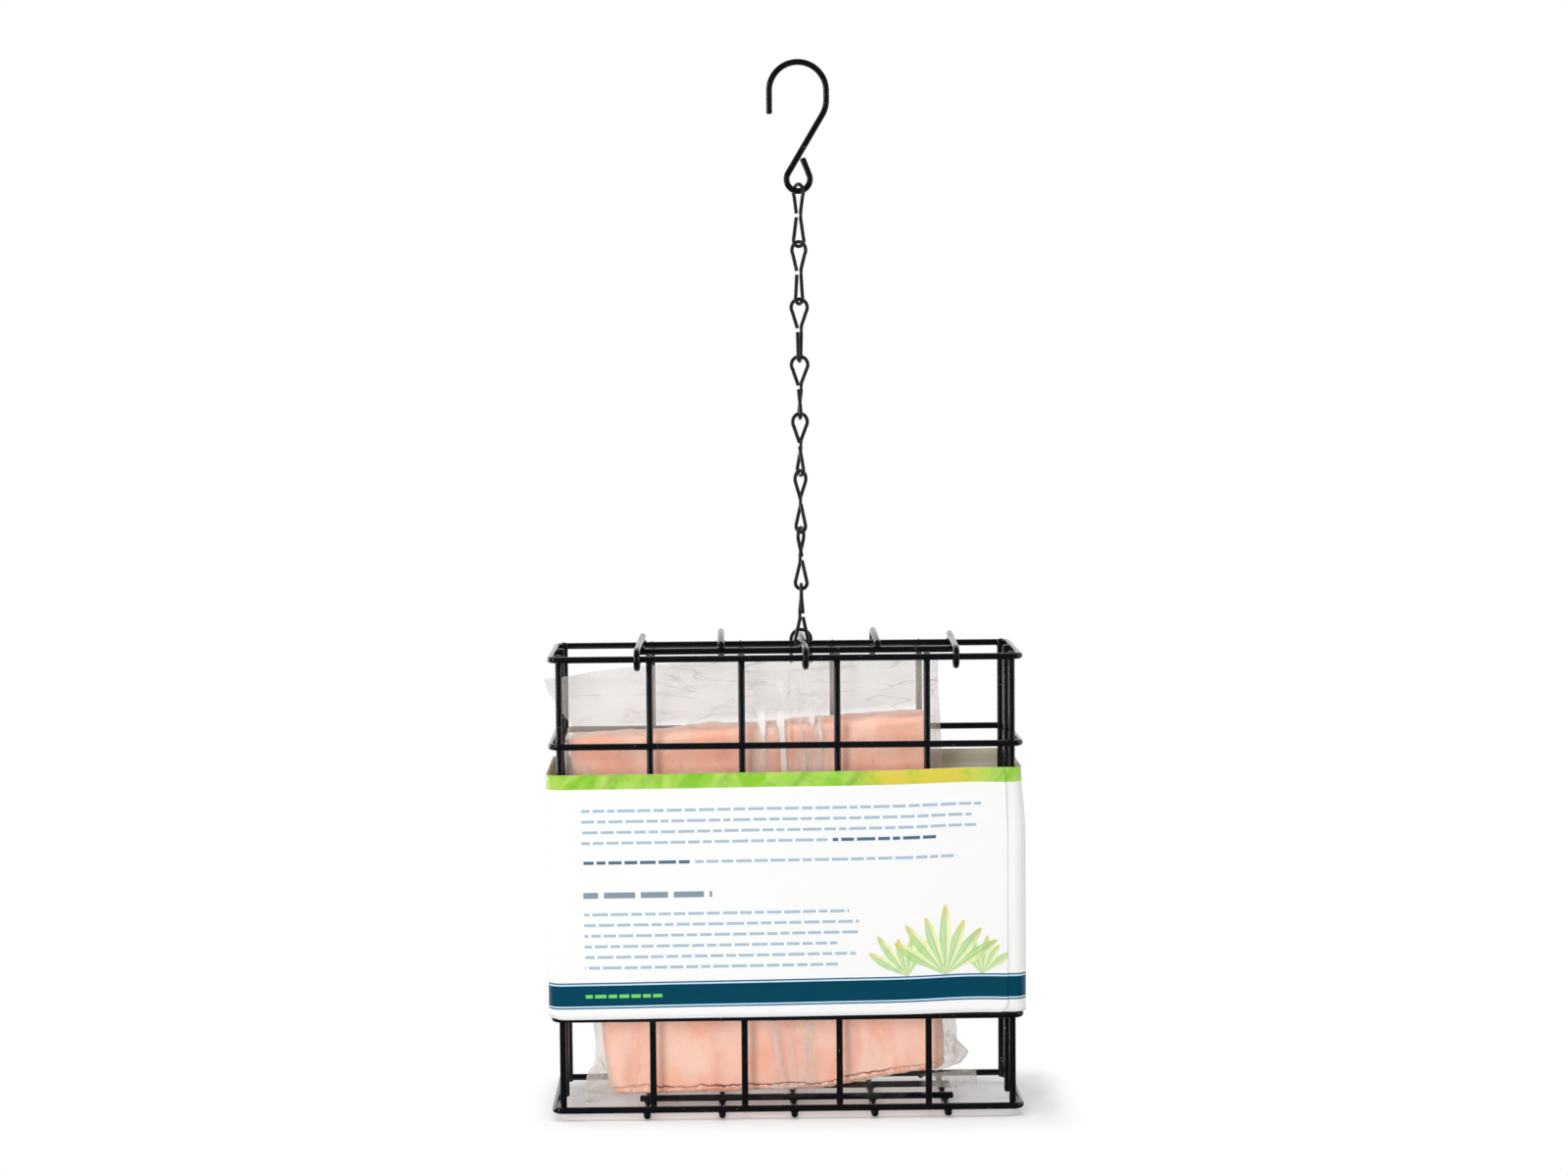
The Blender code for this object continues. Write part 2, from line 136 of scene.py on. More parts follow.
class Finish:
    """The node tree of a material, or of the world, with methods that add nodes to it."""

    def __init__(self, owner):
        owner.use_nodes = True
        self.owner = owner
        self.tree = owner.node_tree

    def feed(self, socket, value):
        """Links a Value to a socket, or sets the socket to a plain number or colour."""
        if isinstance(value, Value):
            self.tree.links.new(value.socket, socket)
        else:
            socket.default_value = value

    def node(self, kind, settings=None, sockets=None, output=0):
        """Adds a node, its settings first and then its sockets, and gives back one of its outputs."""
        made = self.tree.nodes.new(kind)
        for key, value in (settings or {}).items():
            setattr(made, key, value)
        for key, value in (sockets or {}).items():
            self.feed(made.inputs[key], value)
        return Value(self, made.outputs[output]) if made.outputs else None

    def paint(self, sockets):
        """Feeds the sockets of the material's main shader by their names."""
        for key, value in sockets.items():
            self.feed(self.tree.nodes["Principled BSDF"].inputs[key], value)

    def blend(self, share, first, second):
        """One shader where share is 0, the other where it is 1."""
        return self.node("ShaderNodeMixShader", None, {0: share, 1: first, 2: second})

    def place(self):
        """The point that is shaded, in the piece's own metres."""
        return self.node("ShaderNodeTexCoord", output=3)

    def stored(self, name):
        """The numbers that a piece stores at its points under a name."""
        return self.node("ShaderNodeAttribute", {"attribute_name": name}, output=2)

    def relief(self, strength, depth, height):
        """A normal bent by a height, as if it stood depth metres high."""
        return self.node("ShaderNodeBump", None,
                         {"Strength": strength, "Distance": depth, "Height": height})

    def chance(self, number):
        """An even random share for each whole number."""
        return self.node("ShaderNodeTexWhiteNoise", {"noise_dimensions": "1D"}, {"W": number})

    def parts(self, vector):
        """The x, y and z of a vector socket."""
        made = self.node("ShaderNodeSeparateXYZ", None, {0: vector})
        return [Value(self, made.socket.node.outputs[i]) for i in range(3)]

    def layers(self, colour, *layers):
        """A colour with others laid over it in turn, each by its own share of 0 to 1."""
        for share, tint in layers:
            inputs = {0: share}
            for index, part in ((6, colour), (7, tint)):
                inputs[index] = part if isinstance(part, Value) else (*part, 1.0)
            colour = self.node("ShaderNodeMix", {"data_type": "RGBA"}, inputs, 2)
        return colour

    def noise(self, place, size, detail=2.0, roughness=0.5, stretch=None, distortion=0.0):
        """Noise with features about as large as size, in the place's units, stretched along an axis."""
        if stretch:
            place = self.node("ShaderNodeMapping", None, {0: place, 3: stretch})
        return self.node("ShaderNodeTexNoise", None,
                         {"Vector": place, "Scale": 1 / size, "Detail": detail,
                          "Roughness": roughness, "Distortion": distortion})


def ray_kinds(finish):
    """Three flags, each 1 for its own rays: from the camera, from gloss, and through clear pieces."""
    path = finish.tree.nodes.new("ShaderNodeLightPath")
    return [Value(finish, path.outputs[name])
            for name in ("Is Camera Ray", "Is Glossy Ray", "Is Transmission Ray")]


floor_level = cad_box[0][2] - floor_drop
floor_corners = [(x, y, floor_level) for x, y in ((-1, -1), (1, -1), (1, 1), (-1, 1))]
floor_data = bpy.data.meshes.new("floor")
floor_data.from_pydata([(x * floor_reach, y * floor_reach, z) for x, y, z in floor_corners],
                       [], [(0, 1, 2, 3)])
floor = bpy.data.objects.new("floor", floor_data)
bpy.context.scene.collection.objects.link(floor)
white_table = Finish(bpy.data.materials.new("white_table"))
white_table.tree.nodes.clear()
lit = white_table.node("ShaderNodeBsdfDiffuse", None, {"Color": (floor_albedo,) * 3 + (1,)})
glow = white_table.node("ShaderNodeEmission", None, {"Strength": floor_glow})
lit_and_glow = white_table.node("ShaderNodeAddShader", None, {0: lit, 1: glow})
plain_white = white_table.node("ShaderNodeEmission", None, {"Strength": 1.0})
table_x, table_y, _ = white_table.parts(white_table.place())
from_feeder = (((table_x.size() - cage_half_length).most(0.0) * shadow_squash) ** 2
               + (table_y.size() - cage_half_depth).most(0.0) ** 2) ** 0.5
faded = white_table.blend(from_feeder.rise(*shadow_reach), lit_and_glow, plain_white)
by_camera, by_gloss, by_film = ray_kinds(white_table)
shown = white_table.blend((by_camera + by_gloss + by_film).least(1.0), lit_and_glow, faded)
in_front = white_table.node("ShaderNodeEmission", None, {"Strength": front_gloss_level})
shown = white_table.blend(by_gloss * (1 - table_y.rise(*front_gloss_reach)), shown, in_front)
white_table.node("ShaderNodeOutputMaterial", None, {0: shown})
floor_data.materials.append(white_table.owner)

world = bpy.data.worlds.new("studio")
bpy.context.scene.world = world
room = Finish(world)
room.tree.nodes.clear()
by_camera, by_gloss, by_film = ray_kinds(room)
_, behind, _ = room.parts(room.node("ShaderNodeTexCoord", output=0))
backdrop_seen = front_gloss_level + (1 - front_gloss_level) * behind.rise(*backdrop_reach)
straight = (by_camera + by_film).least(1.0)
level = (straight + by_gloss * backdrop_seen
         + (1 - (straight + by_gloss).least(1.0)) * room_level)
backdrop = room.node("ShaderNodeBackground", None, {"Color": (1, 1, 1, 1), "Strength": level})
room.node("ShaderNodeOutputWorld", None, {0: backdrop})

middle_height = (cad_box[0][2] + cad_box[1][2]) / 2
for name, (size, power, distance, turn, rise, aim_rise, in_gloss) in soft_boxes.items():
    lamp = bpy.data.lights.new(name, "AREA")
    lamp.shape = "RECTANGLE"
    lamp.size, lamp.size_y = size
    lamp.energy = power
    holder = bpy.data.objects.new(name, lamp)
    bpy.context.scene.collection.objects.link(holder)
    holder.location = (distance * sin(turn), -distance * cos(turn), middle_height + rise)
    toward = Vector((0, 0, middle_height + aim_rise)) - holder.location
    holder.rotation_euler = toward.to_track_quat("-Z", "Y").to_euler()
    holder.visible_glossy = in_gloss


# Hook: one length of round steel wire, black coated, bent to an open crook above and to a
# closed eye below, its tail bent back until it lies beside the shank. The crook's upper half is
# round one centre and its lower half round another, a little lower.
clearance = 0.0003
hook_wire = 0.0020
hook_crook_radius = 0.0091
hook_height = 0.0409
hook_tip_leg = 0.0074
hook_eye_radius = 0.00375
hook_eye_tail = 0.0058
hook_crook_drop = 0.0030
black_coat = (0.0045, 0.0050, 0.0062)
coat_roughness = (0.08, 0.19)
hook_roughness = (0.10, 0.21)
lint_colour = (0.32, 0.31, 0.29)
gloss_drift_size = 0.006
peel_size = 0.0035
peel_depth = 0.000012
lint_size = 0.0011

X = np.array((1.0, 0.0, 0.0))
Y = np.array((0.0, 1.0, 0.0))
Z = np.array((0.0, 0.0, 1.0))


def unit(vectors):
    """Each vector divided by its own length."""
    return vectors / np.linalg.norm(vectors, axis=-1, keepdims=True)


def arc(centre, radius, start, end, steps, across, up):
    """Points centre + radius * (cos(angle) * across + sin(angle) * up), angle from start to end."""
    angle = np.linspace(start, end, steps + 1)[:, None]
    return centre + radius * (np.cos(angle) * across + np.sin(angle) * up)


def grid_faces(rows, columns, rows_closed=False, columns_closed=True):
    """Quads between neighbouring rows and columns of a grid of points: each takes a point, the
    next in its row, and the two beside them in the next row."""
    row = np.arange(rows if rows_closed else rows - 1)[:, None]
    column = np.arange(columns if columns_closed else columns - 1)[None, :]
    next_row, next_column = (row + 1) % rows, (column + 1) % columns
    corners = (row * columns + column, row * columns + next_column,
               next_row * columns + next_column, next_row * columns + column)
    return np.stack(np.broadcast_arrays(*corners), axis=-1).reshape(-1, 4).tolist()


def end_faces(rows, columns):
    """The two faces that fill a grid's first and last rings."""
    last = (rows - 1) * columns
    return [list(range(columns))[::-1], list(range(last, last + columns))]


def wire_surface(path, diameter, across, closed=False, sides=24):
    """Rings of points round a path. The point of a ring at angle a is its centre plus
    radius * (cos(a) * side + sin(a) * up). Side is what is left of the direction across once its
    part along the path is taken off, and up is square to both. An open wire ends in cut faces
    with a rounded rim: the last rings shrink by a quarter of an ellipse."""
    path = np.asarray(path, float)
    if closed:
        along = unit(np.roll(path, -1, 0) - np.roll(path, 1, 0))
        centres, radii = path, np.ones(len(path))
    else:
        along = unit(np.gradient(path, axis=0))
        rim = np.array((0.0, 0.05, 0.14, 0.28, 0.50)) * diameter / 2
        rim_radii = np.array((0.05, 0.55, 0.80, 0.94, 1.0))
        first, last = [0] * len(rim), [-1] * len(rim)
        centres = np.concatenate((path[0] + rim[:, None] * along[0], path[1:-1],
                                  path[-1] - rim[::-1, None] * along[-1]))
        radii = np.concatenate((rim_radii, np.ones(len(path) - 2), rim_radii[::-1]))
        along = np.concatenate((along[first], along[1:-1], along[last]))
        if np.ndim(across) == 2:
            across = np.concatenate((across[first], across[1:-1], across[last]))
    across = np.broadcast_to(across, along.shape)
    side = unit(across - along * np.sum(across * along, axis=1, keepdims=True))
    up = np.cross(along, side)
    angle = np.linspace(0, 2 * pi, sides, endpoint=False)[None, :, None]
    spokes = np.cos(angle) * side[:, None] + np.sin(angle) * up[:, None]
    points = centres[:, None] + radii[:, None, None] * diameter / 2 * spokes
    faces = grid_faces(len(centres), sides, closed, True)
    if not closed:
        faces += end_faces(len(centres), sides)
    return points.reshape(-1, 3), faces


def joined(surfaces):
    """Several surfaces as one: their points in a row, their faces counted on."""
    counts = np.cumsum([0] + [len(points) for points, _ in surfaces])
    faces = [[start + i for i in face] for start, (_, part) in zip(counts, surfaces) for face in part]
    return np.concatenate([points for points, _ in surfaces]), faces


def add_piece(name, surface, finish, body, nodes=()):
    """One piece from points and faces, in place, riding on a body and standing for CAD nodes."""
    points, faces = surface
    data = bpy.data.meshes.new(name)
    data.from_pydata(points.tolist(), [], faces)
    data.validate()
    data.shade_smooth()
    for each in finish if isinstance(finish, (list, tuple)) else [finish]:
        data.materials.append(each.owner)
    piece = bpy.data.objects.new(name, data)
    bpy.context.scene.collection.objects.link(piece)
    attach(piece, body)
    if nodes:
        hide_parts(*nodes)
    return piece


def coat_finish(name, colour, roughness, metallic=0.0, lint=1.0, peel=peel_depth):
    """Black coat on wire: a fine orange peel that breaks up its lines of light, slow changes of
    gloss, and specks of pale lint."""
    finish = Finish(bpy.data.materials.new(name))
    place = finish.place()
    slow = finish.noise(place, gloss_drift_size)
    fine = finish.noise(place, peel_size)
    specks = finish.noise(place, lint_size, 1.0, distortion=1.5).rise(0.735, 0.79) * lint
    finish.paint({"Base Color": finish.layers(colour, (specks * slow.rise(0.45, 0.6), lint_colour)),
                  "Roughness": roughness[0] + (roughness[1] - roughness[0]) * slow + specks * 0.3,
                  "Metallic": metallic, "Specular IOR Level": 0.5,
                  "Normal": finish.relief(1.0, peel, fine)})
    return finish


hook_eye_foot = hook_wire / 2 - hook_height
hook_crook = Z * (hook_wire / 2 - hook_crook_radius)
hook_eye = Z * (hook_eye_foot + hook_eye_radius)
hook_low_crook = hook_crook - Z * hook_crook_drop
hook_slant = acos((hook_crook_radius + hook_eye_radius) / np.linalg.norm(hook_low_crook - hook_eye))
shank_turn = pi / 2 - hook_slant
tail_turn = shank_turn - atan2(hook_wire, hook_eye_tail) / 2
hook_tip = hook_crook - X * hook_crook_radius - Z * hook_tip_leg
hook_path = np.vstack((hook_tip, arc(hook_crook, hook_crook_radius, pi, 0, 48, X, Z),
                       arc(hook_low_crook, hook_crook_radius, 0, -shank_turn, 16, X, Z),
                       arc(hook_eye, hook_eye_radius, pi - shank_turn, 2 * pi + tail_turn, 48, X, Z)))
tail_direction = Z * cos(tail_turn) - X * sin(tail_turn)
hook_path = np.vstack((hook_path, hook_path[-1] + tail_direction * hook_eye_tail))
hook_coat = coat_finish("hook_coat", black_coat, hook_roughness)
add_piece("hook_wire", wire_surface(hook_path, hook_wire, Y, sides=28), hook_coat, "hook",
          ["hook"])


# Chain: eight figure-eight links, each one strand of thin blackened wire. The strand starts at
# the waist, goes round the upper loop, back through the waist and round the lower loop, and each
# loop is closed round the wire of its neighbour.
link_count = 8
link_wire = 0.0012
link_length = 0.0198
link_upper_width = 0.0065
link_lower_width = 0.0052
link_strand_gap = 0.0002
link_cut_gap = 0.0011
link_waist = 0.0024
link_waist_bend = 0.0040
first_link_lift = 0.0003
first_link_turn = radians(-56)
link_turn_step = radians(20.8)
chain_black = (0.022, 0.021, 0.022)
chain_roughness = (0.20, 0.36)
chain_metallic = 0.35
chain_lint = 0.4
chain_peel_depth = 0.000015


def bent(corners, radius, steps):
    """Straight runs between corners, with each inner corner rounded to an arc of one radius. The
    arc's centre lies on the corner's bisector, radius / cos(half the turn) from the corner."""
    path = [corners[:1]]
    for before, corner, after in zip(corners, corners[1:], corners[2:]):
        into, out = unit(corner - before), unit(after - corner)
        turn = acos(np.clip(into @ out, -1, 1))
        centre = corner + unit(out - into) * radius / cos(turn / 2)
        outward = -unit(out - into)
        onward = unit(into + out)
        path.append(arc(centre, radius, -turn / 2, turn / 2, steps, outward, onward))
    path.append(corners[-1:])
    return np.concatenate(path)


def leg_angle(radius, height, strand):
    """How far below level a loop's arch ends, where its straight legs leave it as tangents: a
    right angle, less the tangent's angle at that height, plus the slant of the leg's far end."""
    return pi / 2 - acos(radius / sqrt(height ** 2 + strand ** 2)) + atan2(strand, height)


def link_strand():
    """A link's path and, for each of its points, the direction that its rings start from:
    across the upper loop's plane above, across the lower loop's plane below, turning between."""
    upper_radius = (link_upper_width - link_wire) / 2
    lower_radius = (link_lower_width - link_wire) / 2
    side = (link_wire + link_strand_gap) / 2 / sqrt(2)
    upper, lower = -Z * upper_radius, -Z * (link_length - lower_radius)
    middle = -Z * link_length / 2
    half_waist, half_cut = Z * link_waist / 2, Z * link_cut_gap / 2
    strand = (X + Y) * side
    upper_angle = leg_angle(upper_radius, np.linalg.norm(upper - middle - half_waist), side)
    lower_angle = leg_angle(lower_radius, np.linalg.norm(middle - half_waist - lower), side)
    crown = arc(upper, upper_radius, pi + upper_angle, -upper_angle, 40, X, Z)
    foot = arc(lower, lower_radius, lower_angle, -pi - lower_angle, 40, Y, Z)
    through = np.array([crown[-1], middle + half_waist + strand, middle - half_waist + strand, foot[0]])
    path = np.vstack((middle + half_cut - strand, crown, bent(through, link_waist_bend, 6)[1:-1],
                      foot, middle - half_cut - strand))
    share = np.clip((path[:, 2] - middle[2]) / link_waist + 0.5, 0, 1)[:, None]
    share = share * share * (3 - 2 * share)
    return path, unit(Y * share + X * (1 - share))


link_pitch = link_length - link_wire - clearance
first_crown = hook_eye_foot + (hook_wire + link_wire) / 2 + clearance + first_link_lift
link_path, link_across = link_strand()
chain_coat = coat_finish("chain_coat", chain_black, chain_roughness, chain_metallic, chain_lint,
                         chain_peel_depth)
for number in range(1, link_count + 1):
    turn = first_link_turn + (number - 1) * link_turn_step
    turned = np.array(((cos(turn), sin(turn), 0), (-sin(turn), cos(turn), 0), (0, 0, 1)))
    strand = link_path @ turned + Z * (first_crown - (number - 1) * link_pitch)
    add_piece(f"chain_link_{number}", wire_surface(strand, link_wire, link_across @ turned, sides=20),
              chain_coat, f"link_{number}", [f"link_{number}"])


# Lid: three wires that curl round the basket's front rail and run straight back, two that clip
# down behind the rear rail, two long wires welded under them, and a staple of thin wire.
wire = 0.0021
wire_step = wire + clearance
curl_radius = 0.0027
curl_sweep = radians(255)
lid_slope = radians(2.2)
lid_rail_setback = 0.0165
lid_rail_spacing = 0.0170
lid_rail_stub = 0.0014
lid_end_trim = 0.0015
lid_hinge_skews = (-0.0010, 0.0006, -0.0004)
hinge_wire_tail = 0.0040
clip_front_stub = 0.0018
clip_bend_radius = 0.0045
clip_leg = 0.0042
staple_wire = 0.0012
staple_width = 0.0064
staple_leg = 0.0078
cage_length = 0.15048
cage_depth = 0.0520
cage_height = 0.14382
hoop_corner_radius = 0.0030
lid_hinge_place_shares = (-0.638, 0.081, 0.758)
lid_clip_place_shares = (-0.282, 0.416)
rail_length = cage_length - wire
rail_depth = cage_depth - wire
post_inset = hoop_corner_radius - (hoop_corner_radius - wire_step) / sqrt(2)
post_x = rail_length / 2 - post_inset
post_y = rail_depth / 2 - post_inset
last_link_foot = first_crown - (link_count - 1) * link_pitch - link_length
lid_wire_height = last_link_foot + (link_wire + wire) / 2 + clearance
rail_height = lid_wire_height - curl_radius / cos(lid_slope) - rail_depth / 2 * tan(lid_slope)
cage_shift = -lid_hinge_place_shares[1] * post_x
lid_y = Y * cos(lid_slope) + Z * sin(lid_slope)
lid_z = Z * cos(lid_slope) - Y * sin(lid_slope)
weld_reach = 1.45
weld_side = 0.86
weld_fillet = 2.2
weld_sink = 0.00012
weld_rows = 5
weld_sides = 16


def in_lid(share, points):
    """Points given in the lid's leaning frame, set at a share of the way to the posts."""
    x, y, z = np.asarray(points, float).T[:, :, None]
    hinge = np.array((cage_shift + share * post_x, -rail_depth / 2, rail_height))
    return hinge + x * X + y * lid_y + z * lid_z


def welds(first, second, first_along, second_along):
    """Fillets of coat between wires that cross. First and second are the points of the two
    axes where they cross. A fillet's section is an ellipse, long along the first wire where it
    leaves that wire and long along the second wire where it meets that one, and it starts and
    ends on the round of the wires."""
    radius = wire / 2
    away = second - first
    apart = np.linalg.norm(away, axis=1)[:, None, None]
    away = unit(away)
    share = np.linspace(0, 1, weld_rows)[None, :, None]
    angle = np.linspace(0, 2 * pi, weld_sides, endpoint=False)[None, None, :]
    spread = weld_reach - weld_side
    on_first = (weld_side + spread * (1 - share) ** weld_fillet) * radius * np.cos(angle)
    on_second = (weld_side + spread * share ** weld_fillet) * radius * np.sin(angle)
    low = np.sqrt(radius ** 2 - (weld_side * radius * np.sin(angle)) ** 2) - weld_sink
    high = apart - np.sqrt(radius ** 2 - (weld_side * radius * np.cos(angle)) ** 2) + weld_sink
    rise = (low * (1 - share) + high * share)[..., None]
    spots = (first[:, None, None] + away[:, None, None] * rise
             + on_first[..., None] * unit(first_along) + on_second[..., None] * unit(second_along))
    handed = np.cross(first_along, second_along) @ away[0]
    one = grid_faces(weld_rows, weld_sides) + end_faces(weld_rows, weld_sides)
    if handed < 0:
        one = [face[::-1] for face in one]
    return joined([(spot.reshape(-1, 3), one) for spot in spots])


def add_wire(name, body, node, path, across, closed=False):
    """A piece of coated wire along a path, standing for one CAD node."""
    add_piece(name, wire_surface(path, wire, across, closed), wire_coat, body, [node])


wire_coat = coat_finish("wire_coat", black_coat, coat_roughness)
hinge_length = lid_rail_setback + lid_rail_spacing + hinge_wire_tail
curl = arc(0 * X, curl_radius, pi / 2 + curl_sweep, pi / 2, 48, Y, Z)
hinge_wire = np.vstack((curl, Y * hinge_length + Z * curl_radius))
clip_reach = rail_depth * cos(lid_slope) + wire_step
clip_drop = -rail_depth * sin(lid_slope) - clip_leg
clip_wire = bent(np.array([Y * (lid_rail_setback - wire / 2 - clip_front_stub) + Z * curl_radius,
                           Y * clip_reach + Z * curl_radius, Y * clip_reach + Z * clip_drop]),
                 clip_bend_radius, 20)
for side, share, skew in zip(("left", "middle", "right"), lid_hinge_place_shares, lid_hinge_skews):
    skewed = hinge_wire + skew * (1 - hinge_wire[:, 1:2] / hinge_length) * X
    add_wire(f"lid_hinge_{side}", "lid", f"lid_hinge_wire_{side}", in_lid(share, skewed), X)
for side, share in zip(("left", "right"), lid_clip_place_shares):
    add_wire(f"lid_clip_{side}", "lid", f"lid_clip_wire_{side}", in_lid(share, clip_wire), X)
lid_overhang = wire / 2 + lid_rail_stub - lid_end_trim
lid_rail_drop = curl_radius - wire_step
lid_ends = [share * post_x + way * lid_overhang - lid_hinge_place_shares[1] * post_x
            for share, way in ((lid_hinge_place_shares[0], -1), (lid_hinge_place_shares[-1], 1))]
lid_welds = []
for side, setback in (("front", lid_rail_setback), ("rear", lid_rail_setback + lid_rail_spacing)):
    run = [X * end + Y * setback + Z * lid_rail_drop for end in lid_ends]
    add_wire(f"lid_rail_{side}", "lid", f"lid_long_wire_{side}", in_lid(lid_hinge_place_shares[1], run), Y)
    spots = [(share, setback) for share in lid_hinge_place_shares + lid_clip_place_shares]
    under = np.concatenate([in_lid(share, [Y * y + Z * lid_rail_drop]) for share, y in spots])
    over = np.concatenate([in_lid(share, [Y * y + Z * curl_radius]) for share, y in spots])
    lid_welds.append(welds(under, over, X, lid_y))
add_piece("lid_weld_beads", joined(lid_welds), wire_coat, "lid")
staple_back = lid_rail_setback + lid_rail_spacing + (wire + staple_wire) / 2 + clearance
staple_crown = curl_radius + (wire + staple_wire) / 2 + clearance
staple_arch = arc(Y * staple_back + Z * (staple_crown - staple_width / 2), staple_width / 2,
                  pi, 0, 32, X, Z)
staple = np.vstack((staple_arch[0] - Z * staple_leg, staple_arch, staple_arch[-1] - Z * staple_leg))
add_piece("lid_thin_staple", wire_surface(in_lid(lid_hinge_place_shares[1], staple), staple_wire, Y,
                                          sides=20), chain_coat, "lid", ["lid_staple"])


# Basket: six hoops of coated wire, posts and uprights spot welded against their inner side, and
# a floor of cross wires under the lowest hoop with two long wires on top of them.
hoop_height_shares = (0.0, 0.204, 0.404, 0.606, 0.808, 1.0)
upright_place_shares = (-0.60, -0.193, 0.229, 0.626)
upright_top_stub = 0.0014
upright_foot_stub = 0.0010
floor_place_shares = (-0.629, -0.295, 0.027, 0.384, 0.711)
floor_rail_spacing = 0.0170
floor_rail_stub = 0.0016
floor_front_stub = 0.0007
floor_end_rise = 0.0009
floor_end_length = 0.0036
upright_y = rail_depth / 2 - wire_step
side_upright_x = rail_length / 2 - wire_step
cage = np.array((cage_shift, 0.0, rail_height - cage_height))

half_length, half_depth = rail_length / 2, rail_depth / 2
hoop_corners = np.array([(0, -half_depth, 0), (half_length, -half_depth, 0),
                         (half_length, half_depth, 0), (-half_length, half_depth, 0),
                         (-half_length, -half_depth, 0), (0, -half_depth, 0)])
hoop_path = bent(hoop_corners, hoop_corner_radius, 12)[:-1]
for number, share in enumerate(hoop_height_shares, start=1):
    path = cage + hoop_path + Z * share * cage_height
    add_wire(f"basket_hoop_{number}", "basket", f"hoop_{number}", path, Z, closed=True)

beads = []
hoop_levels = np.array(hoop_height_shares)[:, None] * cage_height


def add_upright(name, node, x, y, hoop_x, hoop_y, hoop_along):
    """A straight wire inside the hoops, with a weld bead at each of them."""
    path = cage + np.array([(x, y, -upright_foot_stub), (x, y, cage_height + upright_top_stub)])
    add_wire(name, "basket", node, path, X)
    upright_spots = cage + X * x + Y * y + Z * hoop_levels
    hoop_spots = cage + X * hoop_x + Y * hoop_y + Z * hoop_levels
    beads.append(welds(hoop_spots, upright_spots, hoop_along, Z))


long_sides = (("front", -1), ("rear", 1))
short_sides = (("left", -1), ("right", 1))
corner_cut = hoop_corner_radius * (1 - 1 / sqrt(2))
for end, y_side in long_sides:
    for side, x_side in short_sides:
        add_upright(f"basket_post_{end}_{side}", f"post_{end}_{side}",
                    x_side * post_x, y_side * post_y,
                    x_side * (half_length - corner_cut), y_side * (half_depth - corner_cut),
                    X * y_side - Y * x_side)
    for number, share in enumerate(upright_place_shares, start=1):
        add_upright(f"basket_upright_{end}_{number}", f"upright_{end}_{number}",
                    share * post_x, y_side * upright_y, share * post_x, y_side * half_depth, X)
for side, x_side in short_sides:
    add_upright(f"basket_upright_side_{side}", f"upright_side_{side}",
                x_side * side_upright_x, 0.0, x_side * half_length, 0.0, Y)

floor_cross_reach = cage_depth / 2 + floor_front_stub
for number, share in enumerate(floor_place_shares, start=1):
    path = cage + np.array([(share * post_x, way * (floor_cross_reach - back), lift - wire_step)
                            for way, back, lift in ((-1, 0, floor_end_rise), (-1, floor_end_length, 0),
                                                    (1, floor_end_length, 0), (1, 0, floor_end_rise))])
    add_wire(f"basket_floor_cross_{number}", "basket", f"floor_cross_wire_{number}", path, X)
floor_overhang = wire / 2 + floor_rail_stub
floor_ends = (floor_place_shares[0] * post_x - floor_overhang,
              floor_place_shares[-1] * post_x + floor_overhang)
for end, y_side in long_sides:
    y = y_side * floor_rail_spacing / 2
    path = cage + np.array([(x, y, 0.0) for x in floor_ends])
    add_wire(f"basket_floor_rail_{end}", "basket", f"floor_long_wire_{end}", path, Y)
crossings = [(share * post_x, y) for share in floor_place_shares
             for y in (-half_depth, -floor_rail_spacing / 2, floor_rail_spacing / 2, half_depth)]
under = cage + np.array([(x, y, -wire_step) for x, y in crossings])
over = cage + np.array([(x, y, 0.0) for x, y in crossings])
beads.append(welds(under, over, Y, X))
add_piece("basket_weld_beads", joined(beads), wire_coat, "basket")


# Suet cake: a block of fat, flour and nuts pressed warm into a mould, so its edges are round and
# its faces smeared, and a ragged line runs round its foot where the mould's two halves met. It
# leans against the left side wire, and its soft foot has sagged between the floor wires.
cake_height = 0.1155
cake_foot_width = 0.1105
cake_top_width = 0.1170
cake_thickness = 0.0220
cake_edge = 0.0030
cake_corner = 1.35 * cake_edge
cake_left_foot_inset = 0.0016
cake_lean = radians(3.6)
film_wall = 0.0004
wrap_space = clearance + film_wall + clearance
pole_half_depth = 0.0002
least_radius = 0.0001
foot_band_height = 0.0065
mould_line_height = 0.0027
mould_line_depth = 0.0003
mould_line_width = 0.00040
mould_line_sways = ((0.00040, 0.013, 5), (0.00015, 0.004, 6))
foot_sag = ((-0.056, 0.0), (-0.050, 0.0007), (-0.044, 0.0012), (-0.034, 0.0019), (-0.012, 0.0024),
            (-0.004, 0.0031), (0.003, 0.0036), (0.012, 0.0037), (0.022, 0.0032), (0.034, 0.0018),
            (0.046, 0.0005), (0.056, 0.0))
sag_height = 0.032
face_lumps = ((0.00022, 0.034, 1), (0.00008, 0.010, 2), (0.00003, 0.0035, 3))
face_sink = 0.00035
crumb_lumps = ((0.00012, 0.0024, 7),)
crumb_fade = 0.0006
top_lumps = ((0.00022, 0.0075, 9),)
top_lumps_depth = 0.008
suet_pink = (0.975, 0.485, 0.350)
suet_pale = (0.985, 0.625, 0.490)
suet_deep = (0.87, 0.330, 0.225)
suet_red = (0.72, 0.130, 0.085)
suet_brown = (0.180, 0.045, 0.030)
suet_fat = (0.98, 0.80, 0.70)
suet_crumb = (0.98, 0.82, 0.70)
blotch_size, smear_size, patch_size = 0.014, 0.010, 0.019
grain_size, crumb_size = 0.0011, 0.0022
fat_speck_size, red_speck_size = 0.0016, 0.0013
suet_relief_depth = 0.00012
suet_glow_depth = 0.003

